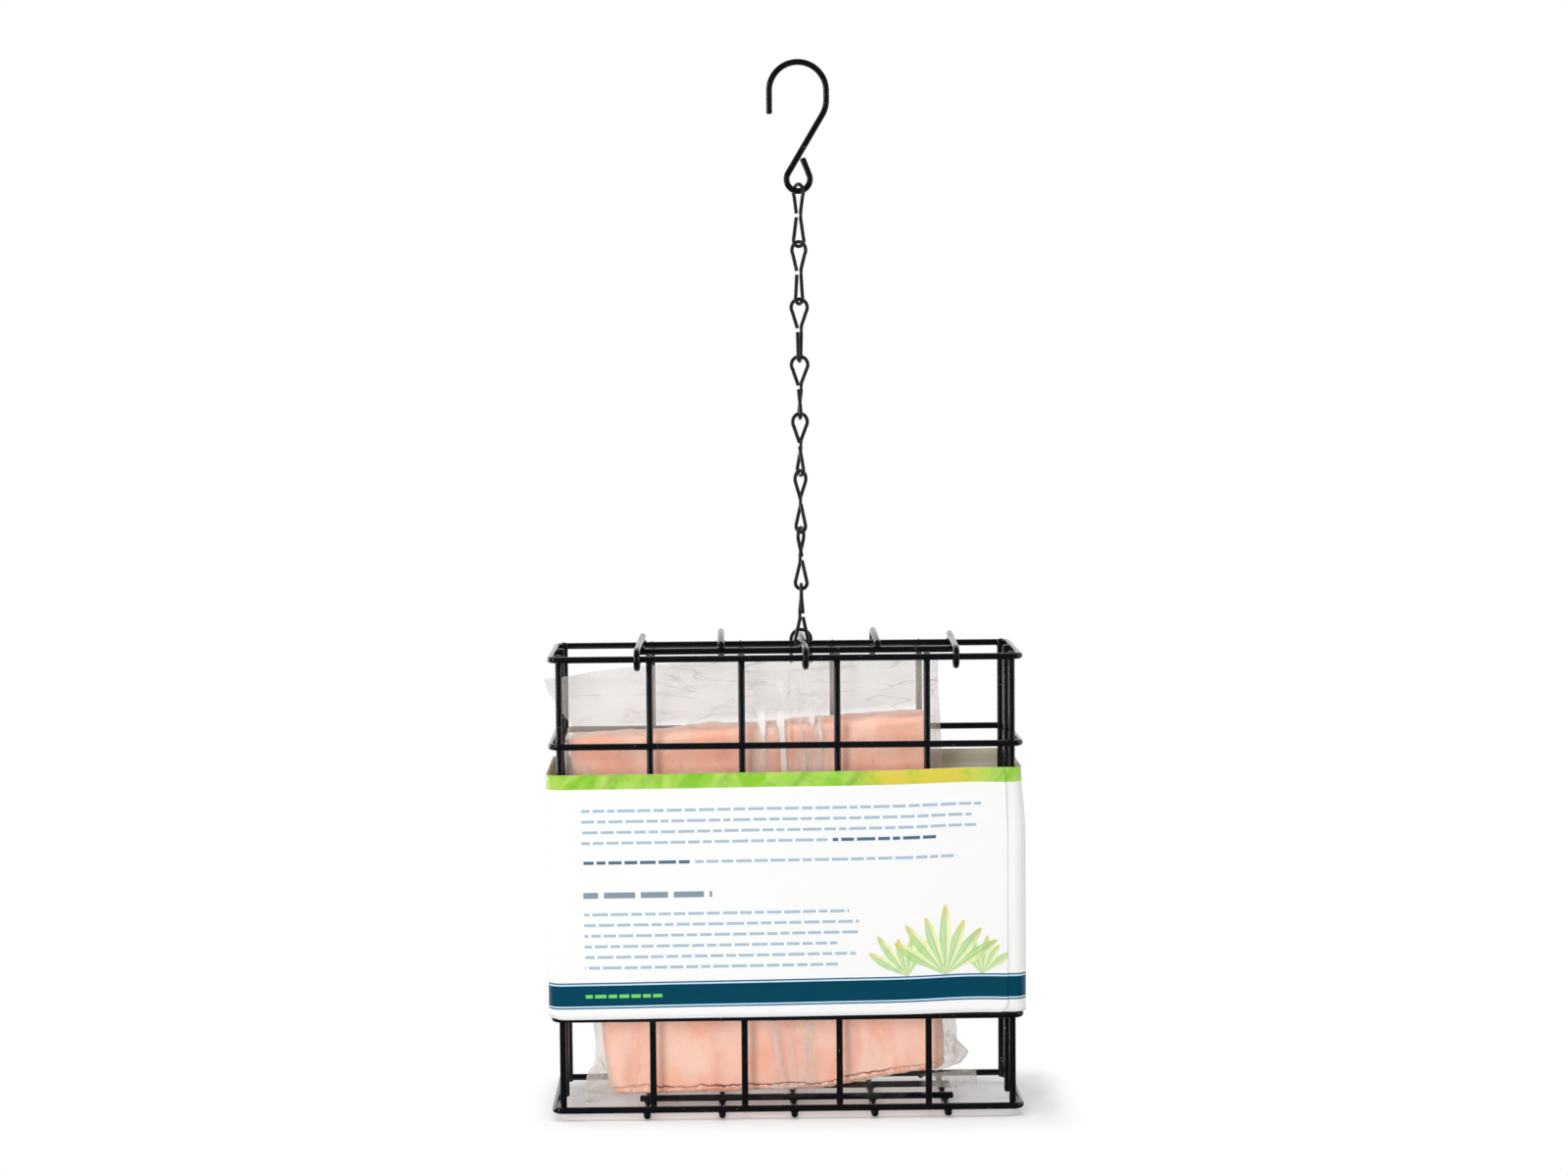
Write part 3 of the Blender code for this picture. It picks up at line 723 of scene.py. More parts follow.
leftmost = -cake_top_width / 2 * cos(cake_lean) - cake_height * sin(cake_lean)
edge_x = cake_edge - cake_foot_width / 2
lowest = edge_x * sin(cake_lean) + cake_edge * cos(cake_lean) - cake_edge
cake_x = cage_shift - side_upright_x + wire / 2 + wrap_space - leftmost
cake_z = cage[2] + wire / 2 + wrap_space - lowest


def smooth(value):
    """0 at 0 and 1 at 1, level at both ends: the square of the value times 3 less twice it."""
    value = np.clip(value, 0, 1)
    return value * value * (3 - 2 * value)


def ramp(value, start, length):
    """The smooth step that starts where the value is at its start and takes a length."""
    return smooth((value - start) / length)


def points_at(*parts):
    """Points from their coordinates, each a number, a row, a column or a grid."""
    return np.stack(np.broadcast_arrays(*parts), axis=-1)


def knots(places, value):
    """What a broken line between knots gives at a value."""
    return np.interp(value, *np.array(places).T)


def in_cake(points):
    """Points given in the cake's own frame, at its foot and leaning left, set in place."""
    x, y, z = np.moveaxis(points, -1, 0)
    return points_at(cake_x + x * cos(cake_lean) - z * sin(cake_lean), y,
                     cake_z + x * sin(cake_lean) + z * cos(cake_lean))


def settled(points):
    """The cake's own frame again, its soft foot let down on to the floor wires: each point drops
    by what the foot has sagged at its x, and by less the higher it stands, up to sag_height."""
    x, y, z = np.moveaxis(points, -1, 0)
    return points_at(x, y, z - knots(foot_sag, x) * (1 - ramp(z, mould_line_height, sag_height)))


def ring_pattern(long_steps, short_steps, corner_steps):
    """For each point of a rounded rectangle, the shares of the way to the corner's centre in x
    and y, and the angle at which it stands off that centre: rear, left, front, right."""
    parts = []
    for quarter, (x_side, y_side) in enumerate(((1, 1), (-1, 1), (-1, -1), (1, -1))):
        bend = np.linspace(quarter * pi / 2, (quarter + 1) * pi / 2, corner_steps, endpoint=False)
        parts.append((bend * 0 + x_side, bend * 0 + y_side, bend))
        run = np.linspace(1, -1, (long_steps, short_steps)[quarter % 2], endpoint=False)
        x_run, y_run = ((run * x_side, run * 0 + y_side), (run * 0 + x_side, run * y_side))[quarter % 2]
        parts.append((x_run, y_run, run * 0 + (quarter + 1) * pi / 2))
    return [np.concatenate(part)[None, :] for part in zip(*parts)]


def ring_walls(pattern, half_width, half_depth, radius, height):
    """Rings of a rounded rectangle, one a row, their sizes given as columns: each point is a
    share of the way to its corner's centre plus the corner's radius at its angle."""
    x_share, y_share, angle = pattern
    x = x_share * (half_width - radius) + radius * np.cos(angle)
    y = y_share * (half_depth - radius) + radius * np.sin(angle)
    return points_at(x, y, height)


def half_width_at(z):
    """Half the cake's width at a height: it widens evenly from its foot to its top."""
    return (cake_foot_width + (cake_top_width - cake_foot_width) * np.clip(z / cake_height, 0, 1)) / 2


def rounded_foot(cap_rows, edge_rows):
    """Insets and heights of rings from the middle of a foot out and round its edge: a flat cap,
    then a quarter circle of radius cake_edge."""
    turn = np.linspace(0, pi / 2, edge_rows)
    cap = np.linspace(cake_thickness / 2 - pole_half_depth, cake_edge, cap_rows)[:-1]
    return (np.concatenate((cap, cake_edge * (1 - np.sin(turn)))),
            np.concatenate((0 * cap, cake_edge * (1 - np.cos(turn)))))


def lumps(points, size, seed, waves=14):
    """Smooth bumps about as large as size: the sum of plane waves in random directions, each the
    sine of the point's distance along its direction plus its own phase."""
    random = np.random.default_rng(seed)
    direction = unit(random.normal(size=(waves, points.shape[-1]))) * 2 * pi / size
    direction = direction * random.uniform(0.5, 1.3, (waves, 1))
    phase = random.uniform(0, 2 * pi, waves)
    return np.sin(points @ direction.T + phase).sum(-1) * sqrt(2 / waves)


def swollen(points, table):
    """The sum, over a table's rows, of a height times the lumps of the row's size and seed."""
    return sum(height * lumps(points, *row) for height, *row in table)


def outward(points):
    """The direction square to a grid of rings: its step round crossed with its step up."""
    around = np.roll(points, -1, 1) - np.roll(points, 1, 1)
    return unit(np.cross(around, np.gradient(points, axis=0)) + 1e-12)


def add_weights(piece, **weights):
    """Numbers stored at a piece's points, one list for each name, for its finish to read."""
    for name, values in weights.items():
        layer = piece.data.attributes.new(name, "FLOAT", "POINT")
        layer.data.foreach_set("value", np.ascontiguousarray(values, np.float32).ravel())


def add_soft_piece(name, points, finish, slot, nodes=(), **weights):
    """A piece from rings in the cake's frame, let down and set in place as one closed surface
    whose first and last rings are filled, with numbers stored at its points."""
    rows, columns = points.shape[:2]
    surface = (in_cake(settled(points)).reshape(-1, 3),
               grid_faces(rows, columns) + end_faces(rows, columns))
    add_weights(add_piece(name, surface, finish, "basket", nodes), **weights)


# The block: rounded rectangles that widen from foot to top. The top's cap and edge are those of
# the foot turned over.
foot_inset, foot_height = rounded_foot(10, 15)
inset = np.concatenate((foot_inset, np.zeros(120), foot_inset[::-1]))[:, None]
height = np.concatenate((foot_height, np.linspace(cake_edge, foot_band_height, 17)[1:-1],
                         np.linspace(foot_band_height, cake_height - cake_edge, 106)[:-1],
                         cake_height - foot_height[::-1]))[:, None]
cake_points = ring_walls(ring_pattern(120, 22, 9), half_width_at(height) - inset,
                         cake_thickness / 2 - inset, np.maximum(cake_corner - inset, least_radius), height)
left_inset = cake_left_foot_inset * (1 - cake_points[..., 2] / cake_height)
left_share = np.clip(-cake_points[..., 0] / (cake_foot_width / 2), 0, 1)
cake_points[..., 0] += left_inset * left_share ** 2

# Its faces move in or out by slow lumps, a dent along the mould's line, crumbs below that line
# and rougher lumps near the top.
above_line = cake_points[..., 2] - mould_line_height - swollen(cake_points, mould_line_sways)
dent = np.exp(-(above_line / mould_line_width) ** 2)
below_line = smooth(0.5 - above_line / crumb_fade)
near_top = ramp(cake_points[..., 2], cake_height - top_lumps_depth, top_lumps_depth)
cake_relief = (swollen(cake_points, face_lumps) - mould_line_depth * dent
               + below_line * swollen(cake_points, crumb_lumps)
               + near_top * swollen(cake_points, top_lumps) - face_sink)
cake_points = cake_points + outward(cake_points) * cake_relief[..., None]

suet = Finish(bpy.data.materials.new("pressed_suet"))
suet_place = suet.place()
from_line = suet.stored("above_line")
blotches = suet.noise(suet_place, blotch_size, 3.0, 0.6)
smears = suet.noise(suet_place, smear_size, 3.0, 0.6, stretch=(1.0, 1.0, 0.30), distortion=0.5)
grain = suet.noise(suet_place, grain_size, 3.0, 0.7)
crumbs = suet.noise(suet_place, crumb_size, 3.0, 0.75)
fat_specks = suet.noise(suet_place, fat_speck_size, 1.0).rise(0.66, 0.78)
red_specks = suet.noise(suet_place, red_speck_size, 1.0).rise(0.74, 0.82)
torn = from_line + (crumbs - 0.5) * 2.2
in_crack = 1 - (torn + 0.1).size().rise(0.10, 0.42)
patchy = suet.noise(suet_place, patch_size).rise(0.36, 0.52)
crumbly = (1 - torn.rise(-0.7, 0.1)) * from_line.rise(-4.2, -2.0)
suet_colour = suet.layers(
    suet_pink, (blotches.rise(0.36, 0.64), suet_pale), (smears.rise(0.50, 0.72) * 0.45, suet_deep),
    (smears.rise(0.46, 0.28) * 0.35, suet_pale), (fat_specks * 0.30, suet_fat),
    (red_specks * 0.45, suet_red), (crumbly * crumbs.rise(0.40, 0.62) * 0.55, suet_deep),
    (crumbly * crumbs.rise(0.52, 0.36) * 0.60, suet_crumb),
    (in_crack * (0.35 + 0.60 * patchy), suet_brown))
suet_height = grain + 1.2 * blotches + 1.5 * crumbly * crumbs - 1.5 * in_crack
suet.paint({"Base Color": suet_colour, "Roughness": 0.36 + 0.25 * grain,
            "Subsurface Weight": 0.10, "Subsurface Scale": suet_glow_depth,
            "Normal": suet.relief(0.8, suet_relief_depth, suet_height)})
add_soft_piece("suet_block", cake_points, suet, "suet", ["suet_cake"], above_line=above_line * 1000)


# Film wrapper: a pouch of thin clear film drawn round the cake. Its sides are creased to an
# edge, its sealed end stands crumpled above the cake, and its other end is folded underneath.
# A run below is where a smooth step starts and how long it is, in x or z, or in -x or -z where it
# falls; fin_haze_run and shine_high_run count from the cake's top. A row of lumps or folds is a
# height, a size, the seed of its directions and, where it isn't the usual one, a number of waves.
spread = clearance + film_wall
fin_height = 0.0185
fin_top = ((-0.0649, 0.0195), (-0.0590, 0.0195), (-0.0320, 0.0208), (-0.0100, 0.0213),
           (0.0200, 0.0203), (0.0624, 0.0169))
left_crease = ((-0.0007, 0.0600), (0.002, 0.0620), (0.006, 0.0605), (0.011, 0.0576), (0.016, 0.0568),
               (0.060, 0.0592), (0.100, 0.0603), (0.114, 0.0598), (0.1158, 0.0592), (0.1190, 0.0572),
               (0.126, 0.0612), (0.130, 0.0637), (0.135, 0.0649))
right_crease = ((-0.0007, 0.0622), (0.002, 0.0640), (0.0045, 0.0624), (0.0075, 0.0606),
                (0.018, 0.0598), (0.123, 0.0619), (0.132, 0.0624))
left_crease_depth = -0.0062
crease_margin = 0.0008
shoulder_height = 0.0110
fin_half_depth = 0.0004
fin_wave_depth, fin_wave_length = 0.0012, 0.0085
fin_left_bend, fin_left_bend_run = 0.0060, (0.046, 0.016)
fin_right_bend, fin_right_bend_run = 0.0020, (0.045, 0.015)
fin_fold_squash = np.array((0.36, 1.0))
fin_folds = ((0.00050, 0.015, 21, 8), (0.00022, 0.006, 22, 9))
fin_fold_sink = 0.0004
fin_rear_folds = ((0.00035, 0.013, 24, 8), (0.00008, 0.005, 25, 9))
loose_gap = 0.00012
loose_folds = ((0.00022, 0.024, 31), (0.00010, 0.008, 32))
lobe_run = (-0.014, 0.010)
lobe_lumps_deep = ((0.0011, 0.0062, 33),)
lobe_lumps_wide = ((0.0007, 0.0050, 34),)
pleat_places = (0.0009, 0.0040, 0.0085, 0.0120, 0.0163, 0.0208, 0.0236)
pleat_heights = (0.0008, 0.0012, 0.0006, 0.0013, 0.0008, 0.0012, 0.0009)
pleat_width = 0.00085
pleat_sways = ((0.0007, 0.017, 2.1), (0.0003, 0.0045, 1.0))
pleat_closing_height = 0.085
pleat_wave, pleat_wave_step = 0.013, 0.002
full_pleat = 0.0010
glint_size, glint_squash = 0.0034, 0.12
fin_haze_run = (-0.001, 0.003)
shine_left_run, shine_right_run = (-0.0005, 0.002), (-0.0255, 0.002)
shine_low_run, shine_high_run = (0.088, 0.012), (-0.007, 0.006)
corner_shine_x, corner_shine_z = -0.0530, 0.1015
corner_shine_width, corner_shine_height = 0.0012, 0.0040
film_grey = (0.70, 0.655, 0.61)
film_crease_shade = (0.36, 0.33, 0.31)
crease_and_highlight_white = (1.0, 0.99, 0.98)
film_cloud_size = 0.014
film_relief_depth = 0.00015
# Long, fanned and short creases: size, stretch, distortion, line width, cloud that bears them, share
film_creases = ((0.020, (0.34, 1.0, 1.5), 0.5, 0.010, (0.36, 0.54), 1.0),
                (0.011, (0.55, 1.0, 1.3), 1.2, 0.012, (0.50, 0.62), 0.8),
                (0.0050, (0.6, 1.0, 1.2), 0.7, 0.016, (0.57, 0.68), 0.6))


def creased(points, table):
    """The sum, over a table's rows, of a height times the size of the row's lumps: what would
    dip is folded up, so that sharp valleys lie between."""
    return sum(height * np.abs(lumps(points, *row)) for height, *row in table)


def fin_wave(x):
    """How far the sealed end stands back at x: a slow sine along the cake."""
    return fin_wave_depth * np.sin(x / fin_wave_length + 1.0)


def fin_closing(z):
    """0 beside the cake and 1 where its two faces have met above it, a rounded gable between."""
    return ramp(z, cake_height, shoulder_height) ** 0.7


def pleats(x, z):
    """Upright pleats where the film is gathered along its back seam: narrow bell-shaped ridges
    that sway a little, come and go with height, and close up towards the cake's foot. A ridge is
    its height times its strength times exp(-(distance from its line / width) squared)."""
    closing = 0.52 + 0.48 * smooth(z / pleat_closing_height)
    total = 0
    for number, (place, rise) in enumerate(zip(pleat_places, pleat_heights)):
        sway = sum(depth * np.sin(z / length + step * number) for depth, length, step in pleat_sways)
        strength = 0.55 + 0.45 * np.sin(z / (pleat_wave + pleat_wave_step * number) + 1.3 * number)
        total = total + rise * strength * np.exp(-((x - place * closing - sway) / pleat_width) ** 2)
    return total


# The pouch: rounded rectangles a little larger than the cake's. Above the cake their depth closes
# to a flat fin, whose rows run up to the sloping line of fin_top.
foot_inset, foot_height = rounded_foot(9, 6)
body = np.linspace(cake_edge, cake_height, 96)[1:]
fin_share = np.linspace(0, 1, 56)[1:]
film_z = np.concatenate((foot_height, body, cake_height + fin_share * fin_height))[:, None]
film_inset = np.concatenate((foot_inset, 0 * body, 0 * fin_share))[:, None]
up_fin = np.concatenate((0 * foot_inset, 0 * body, fin_share))[:, None]
gable = fin_closing(film_z)
film_half_width = half_width_at(film_z) + spread - film_inset
film_half_depth = (cake_thickness / 2 + spread - film_inset) * (1 - gable) + fin_half_depth * gable
film_radius = np.minimum(np.maximum(cake_corner + spread - film_inset, least_radius),
                         film_half_depth * 0.9)
film_points = ring_walls(ring_pattern(180, 26, 6), film_half_width, film_half_depth, film_radius,
                         film_z - spread)
x, y, z = np.moveaxis(film_points, -1, 0)

# Its ends are drawn out to the side creases: a point moves out by its share of the way round the
# end times its nearness to the crease.
depth_share = y / film_half_depth
left = x < 0
inner = 1 - film_inset / (cake_thickness / 2)
crease_depth = np.where(left, left_crease_depth / (cake_thickness / 2) * (1 - gable), 0.0)
to_crease = np.where(depth_share < crease_depth, (depth_share + 1) / (crease_depth + 1),
                     (1 - depth_share) / (1 - crease_depth))
to_crease = np.clip(to_crease, 0, 1) ** 1.3 * inner ** 3
end_share = np.clip((np.abs(x) - (film_half_width - film_radius)) / film_radius, 0, 1)
crease_reach = np.where(left, knots(left_crease, film_z), knots(right_crease, film_z))
foot_trim = np.where(left, cake_left_foot_inset * (1 - np.clip(film_z / cake_height, 0, 1)), 0)
flat_width = film_half_width + gable * (crease_reach - crease_margin - film_half_width)
side_width = flat_width + (crease_reach - flat_width) * to_crease * end_share
x = x * (side_width - foot_trim * (1 - to_crease)) / film_half_width
top_line = cake_height + knots(fin_top, x)
z = np.where(up_fin > 0, cake_height + up_fin * (top_line - cake_height), z)

# The fin bends and crumples, the faces stand off the cake in loose folds and pleats, and the
# ends of the foot bulge in small lobes.
flat = points_at(x, z)
fin_bend = (fin_wave(x) - fin_left_bend * ramp(-x, *fin_left_bend_run)
            + fin_right_bend * ramp(x, *fin_right_bend_run))
crease_zone = 0.45 + 0.55 * np.exp(-((up_fin - 0.78) / 0.28) ** 2)
fin_crumple = (creased(flat * fin_fold_squash, fin_folds) - fin_fold_sink) * crease_zone
is_front = depth_share < 0
y = y + gable * (fin_bend + fin_crumple * smooth(up_fin * 2.2))
y = y + np.where(is_front, 0, gable * creased(flat * fin_fold_squash, fin_rear_folds))
loose = loose_gap + creased(flat, loose_folds)
face = ramp(np.abs(depth_share), 0.75, 0.2) * (1 - end_share)
gathers = pleats(x, z) * np.where(is_front, 1, 0.25)
lobe = ramp(-z, *lobe_run) * end_share
y = y + np.sign(depth_share) * face * (loose + gathers) * (1 - 0.6 * gable)
y = y + lobe * swollen(points_at(x, y, z), lobe_lumps_deep)
x = x + lobe * swollen(points_at(x, y, z), lobe_lumps_wide)
film_points = points_at(x, y, z)

# How hazy each point is: the fin and the creased ends most, the faces hardly at all. Painted highlights:
# the pleats are whitened, partly as film goes white where it is folded and partly as painted light
# glancing off them, and glints on the upper front and a spot at the film's upper left corner are painted
# white; all of these are made hazier so that their white shows.
in_fin = ramp(z - cake_height, *fin_haze_run)
pleated = np.clip(gathers / full_pleat, 0, 1) ** 2 * is_front
# Painted glints: white streaks of light painted on the upper front of the film.
glints = smooth(1.9 * lumps(points_at(x, z * glint_squash), glint_size, 35) - 1.1)
upper = ramp(z, *shine_low_run) * ramp(cake_height - z, *shine_high_run)
beside = ramp(x, *shine_left_run) * ramp(-x, *shine_right_run)
painted_glints = glints * is_front * beside * upper
# Painted highlight: a white spot of light painted at the film's upper left corner.
painted_corner_highlight = is_front * np.exp(-((x - corner_shine_x) / corner_shine_width) ** 2
                                 - ((z - corner_shine_z) / corner_shine_height) ** 2)
white_folds_and_highlights = np.clip(0.55 * pleated + painted_glints + painted_corner_highlight, 0, 1)
haze = (0.020 + 0.280 * in_fin + 0.34 * end_share * (1 - in_fin) * (1 - painted_corner_highlight) + 0.05 * lobe
        + 0.20 * pleated * (1 - in_fin) + 0.85 * painted_glints + 0.85 * painted_corner_highlight)

clear_film = Finish(bpy.data.materials.new("clear_film"))
film_place = clear_film.place()
# Haze with painted highlights, and the share of white from folded whitening and painted highlights, as
# stored at the points.
film_haze_and_highlight = clear_film.stored("haze")
gathered = clear_film.stored("gathered")
cloud = clear_film.noise(film_place, film_cloud_size)
# Painted shade: thin darker lines along the film's creases, where the film is also made less clear.
all_folds, all_lines, crease_shade_lines = [], [], 0.0
for size, stretch, distortion, line_width, clouded, share in film_creases:
    folds = clear_film.noise(film_place, size, stretch=stretch, distortion=distortion)
    fold_lines = 1 - (folds - 0.5).size().rise(0.0, line_width)
    all_folds.append(folds)
    all_lines.append(fold_lines)
    crease_shade_lines = (fold_lines * cloud.rise(*clouded) * share).most(crease_shade_lines)
crease_shade_lines = crease_shade_lines * film_haze_and_highlight.rise(0.10, 0.24)
# The film's colour: darker along its creases, and white by the share of folded whitening and painted
# highlight.
film_colour = clear_film.layers(film_grey, (crease_shade_lines * 0.75, film_crease_shade), (gathered, crease_and_highlight_white))
film_height = all_lines[0] * 0.5 + all_folds[-1]
clear_film.paint({"Base Color": film_colour, "Metallic": 0.10, "Roughness": 0.16,
                  "Alpha": (film_haze_and_highlight * (0.72 + 0.56 * cloud) + crease_shade_lines * 0.17).least(0.85),
                  "Normal": clear_film.relief(0.5, film_relief_depth, film_height)})
add_soft_piece("film_pouch", film_points, clear_film, "film", ["film_wrapper"], haze=haze,
               gathered=white_folds_and_highlights)

# Back seam of the film: a flat double strip, sealed to the pouch's front and gathered with it.
# A row runs out along the strip's front, which the pleats raise, and home along its rear.
seam_foot, seam_top = 0.0015, 0.1318
seam_left = -0.0010
seam_right_foot, seam_right_gain, seam_gain_height = 0.0125, 0.0125, 0.110
seam_foot_slope = 0.3
seam_fin_stand = 0.0012
seam_pleat_shift, seam_pleat_gain = 0.0009, 1.25
seam_thickness, seam_wall = 0.00035, 0.0003
seam_front_gap, seam_rear_gap = 0.00032, 0.00026
seam_fold_squash = np.array((1.0, 0.35))
seam_folds = ((0.0004, 0.0060, 41),)
seam_streak_squash, seam_streak_size = np.array((1.0, 0.16)), 0.0042
seam_fin_fade = 0.004


def out_and_home(front, rear):
    """Rows that run out along the front and come home along the rear."""
    return np.concatenate((front, rear[:, ::-1]), axis=1)


seam_rows = np.linspace(seam_foot, seam_top, 150)[:, None]
seam_across = np.linspace(0, 1, 46)
seam_right = seam_right_foot + seam_right_gain * smooth(seam_rows / seam_gain_height)
seam_x = seam_left + (seam_right - seam_left) * seam_across
seam_z = np.broadcast_to(seam_rows, seam_x.shape)
seam_gable = fin_closing(seam_z)
seam_flat = points_at(seam_x, seam_z)
seam_base = -((cake_thickness / 2 + spread) * (1 - seam_gable) + fin_half_depth * seam_gable)
seam_base = seam_base + seam_foot_slope * np.clip(cake_edge - seam_z, 0, cake_edge)
seam_base = seam_base + seam_gable * (fin_wave(seam_x) - seam_fin_stand)
seam_body = (pleats(seam_x + seam_pleat_shift, seam_z) * seam_pleat_gain + seam_thickness
             + creased(seam_flat * seam_fold_squash, seam_folds))
seam_edge = np.sin(pi * seam_across)[None, :] ** 0.35
seam_front = points_at(seam_x, seam_base - seam_front_gap - seam_body * seam_edge, seam_z)
seam_rear = points_at(seam_x, seam_base - seam_rear_gap - (seam_body - seam_wall) * seam_edge, seam_z)
# Painted highlights: streaks of light painted down the seam, white and made hazier so that they show.
seam_highlight_streaks = np.abs(lumps(seam_flat * seam_streak_squash, seam_streak_size, 42))
seam_haze = (0.035 + 0.06 * ramp(seam_z, cake_height, seam_fin_fade)
             + 0.13 * np.clip(seam_highlight_streaks - 0.35, 0, 1))
add_soft_piece("film_back_seam", out_and_home(seam_front, seam_rear), clear_film, "film",
               haze=out_and_home(seam_haze, seam_haze * 0.4),
               gathered=out_and_home(seam_highlight_streaks, seam_highlight_streaks).clip(0, 1) * 0.8)

# Folded foot of the film: the pouch's other end, pressed flat under the cake on the left and
# hanging crumpled over the floor wires on the right, where the cake stands clear of them. A row is
# a thin loop, (1 - cos a) / 2 times its reach out and sin a times its body thick, turned down.
fold_left, fold_right = -0.0615, 0.0652
fold_drop_run, fold_out_run = (0.012, 0.040), (0.052, 0.008)
fold_full_reach = 0.0052
fold_right_trim, fold_trim_run = 0.0008, (0.045, 0.015)
fold_edge_folds = ((0.0010, 0.020, 51, 6),)
fold_ripple = 0.0042
fold_flat_body, fold_drop_body = 0.00014, 0.00035
fold_stiff_length = 0.004
fold_folds = ((0.0010, 0.0085, 52, 8), (0.0005, 0.0035, 53, 8))
fold_fold_sink = 0.0008
fold_place_y, fold_place_z, fold_drop_z = -0.0075, -0.00082, 0.0004
fold_haze_run = (0.046, 0.007)
fold_haze_size, fold_haze_seed = 0.005, 54

fold_x = np.linspace(fold_left, fold_right, 190)[:, None]
fold_drop = ramp(fold_x, *fold_drop_run)
fold_out = ramp(-fold_x, *fold_out_run)
fold_reach = (fold_full_reach - fold_right_trim * ramp(fold_x, *fold_trim_run)
              + creased(fold_x, fold_edge_folds)[:, None])
fold_angle = (0.08 + 0.86 * fold_drop) * pi / 2 + 0.30 * fold_drop * np.sin(fold_x / fold_ripple)
fold_loop = np.linspace(0, 2 * pi, 28, endpoint=False)[None, :]
along_fold = (1 - np.cos(fold_loop)) / 2 * fold_reach
fold_body = (fold_flat_body + fold_drop_body * fold_drop) * np.sin(fold_loop)
fold_flat = points_at(fold_x, along_fold)
fold_crumple = ((fold_drop + 0.5 * fold_out) * np.clip(along_fold / fold_stiff_length, 0, 1)
                * (creased(fold_flat, fold_folds) - fold_fold_sink))
fold_y = fold_place_y - np.cos(fold_angle) * along_fold + np.sin(fold_angle) * (fold_body + fold_crumple)
fold_z = (fold_place_z - fold_drop_z * fold_drop - np.sin(fold_angle) * along_fold
          - np.cos(fold_angle) * (fold_body * 0.5 + fold_crumple * 0.2))
fold_points = points_at(fold_x, fold_y, fold_z)
fold_haze = ((0.015 + 0.24 * fold_out + 0.27 * ramp(fold_x, *fold_haze_run))
             * (0.8 + 0.5 * np.abs(lumps(fold_points, fold_haze_size, fold_haze_seed))))
add_soft_piece("film_foot_fold", fold_points[:, ::-1], clear_film, "film", haze=fold_haze[:, ::-1],
               gathered=0 * fold_haze)


# Label sleeve: a band of card, printed and varnished outside and plain grey inside, folded round
# the basket's corners and glued to itself at the front, close to the right corner. Its print is
# plain bars and leaves of no one's design. Places in the print are in millimetres.
card = 0.00045
label_height = 0.0780
label_foot_height = 0.0300
label_lean = radians(0.4)
label_flap_inset = 0.0055
label_overlap = 0.0180
flap_corner = 0.0026
fold_corner = 0.0016
fold_corner_width = 0.0028
right_pinch = 0.0014
pinch_from = 0.0560
pinch_share = 2.2
card_wave, card_wave_x, card_wave_width = 0.0006, 0.058, 0.015
card_bulge = 0.00028
bulge_size, bulge_seed, bulge_waves = 0.055, 61, 8
bulge_edge = 0.0012
card_white = (0.745, 0.745, 0.740)
band_teal = (0.001, 0.047, 0.084)
line_teal = (0.030, 0.125, 0.200)
line_pale = (0.52, 0.68, 0.80)
print_bold = (0.060, 0.130, 0.200)
print_fine = (0.320, 0.430, 0.520)
print_green = (0.135, 0.560, 0.110)
grass_green = (0.215, 0.480, 0.030)
grass_pale = (0.370, 0.560, 0.105)
grass_dark = (0.115, 0.285, 0.030)
grass_yellow = (0.580, 0.490, 0.065)
leaf_green = (0.330, 0.560, 0.210)
leaf_dark = (0.130, 0.330, 0.120)
leaf_pale = (0.720, 0.740, 0.380)
card_grey = (0.76, 0.70, 0.61)
card_olive = (0.62, 0.60, 0.43)
card_fibre = (0.60, 0.56, 0.50)
fibre_size = 0.0012
grass_size, blade_size, varnish_size = 9.0, 4.5, 14.0
grass_edge, grass_edge_inside = (73.25, 73.45), (73.2, 73.5)
yellow_band = (26.0, 60.0, 7.0)
band_slant, band_slant_from = 0.0035, 75
varnish_depth = 0.0004

# The card's line: one bent run round the hoops, whose end laps over its start. A point stands at
# a share of the way between the card's lower and upper edges, which rise a little to the right.
space = clearance + card / 2
label_x, label_y = cage_length / 2 + space, cage_depth / 2 + space
label_radius = hoop_corner_radius + wire / 2 + space
label_flap = cage_length / 2 - label_flap_inset
label_lap = card + link_strand_gap
label_line = np.array([(label_flap - label_overlap, -label_y, 0), (label_x, -label_y, 0),
                       (label_x, label_y, 0), (-label_x, label_y, 0), (-label_x, -label_y, 0),
                       (label_flap - label_overlap, -label_y - label_lap, 0)])
label_line = np.vstack((bent(label_line, label_radius, 14), (label_flap, -label_y - label_lap, 0)))
steps = np.linalg.norm(np.diff(label_line, axis=0), axis=1)
reach = np.concatenate(([0], np.cumsum(steps)))
columns = np.unique(np.round(np.concatenate((reach, np.linspace(0, reach[-1], 280),
                                             reach[-1] - np.linspace(0, flap_corner, 14))), 7))
line_x, line_y, _ = (np.interp(columns, reach, part) for part in label_line.T)

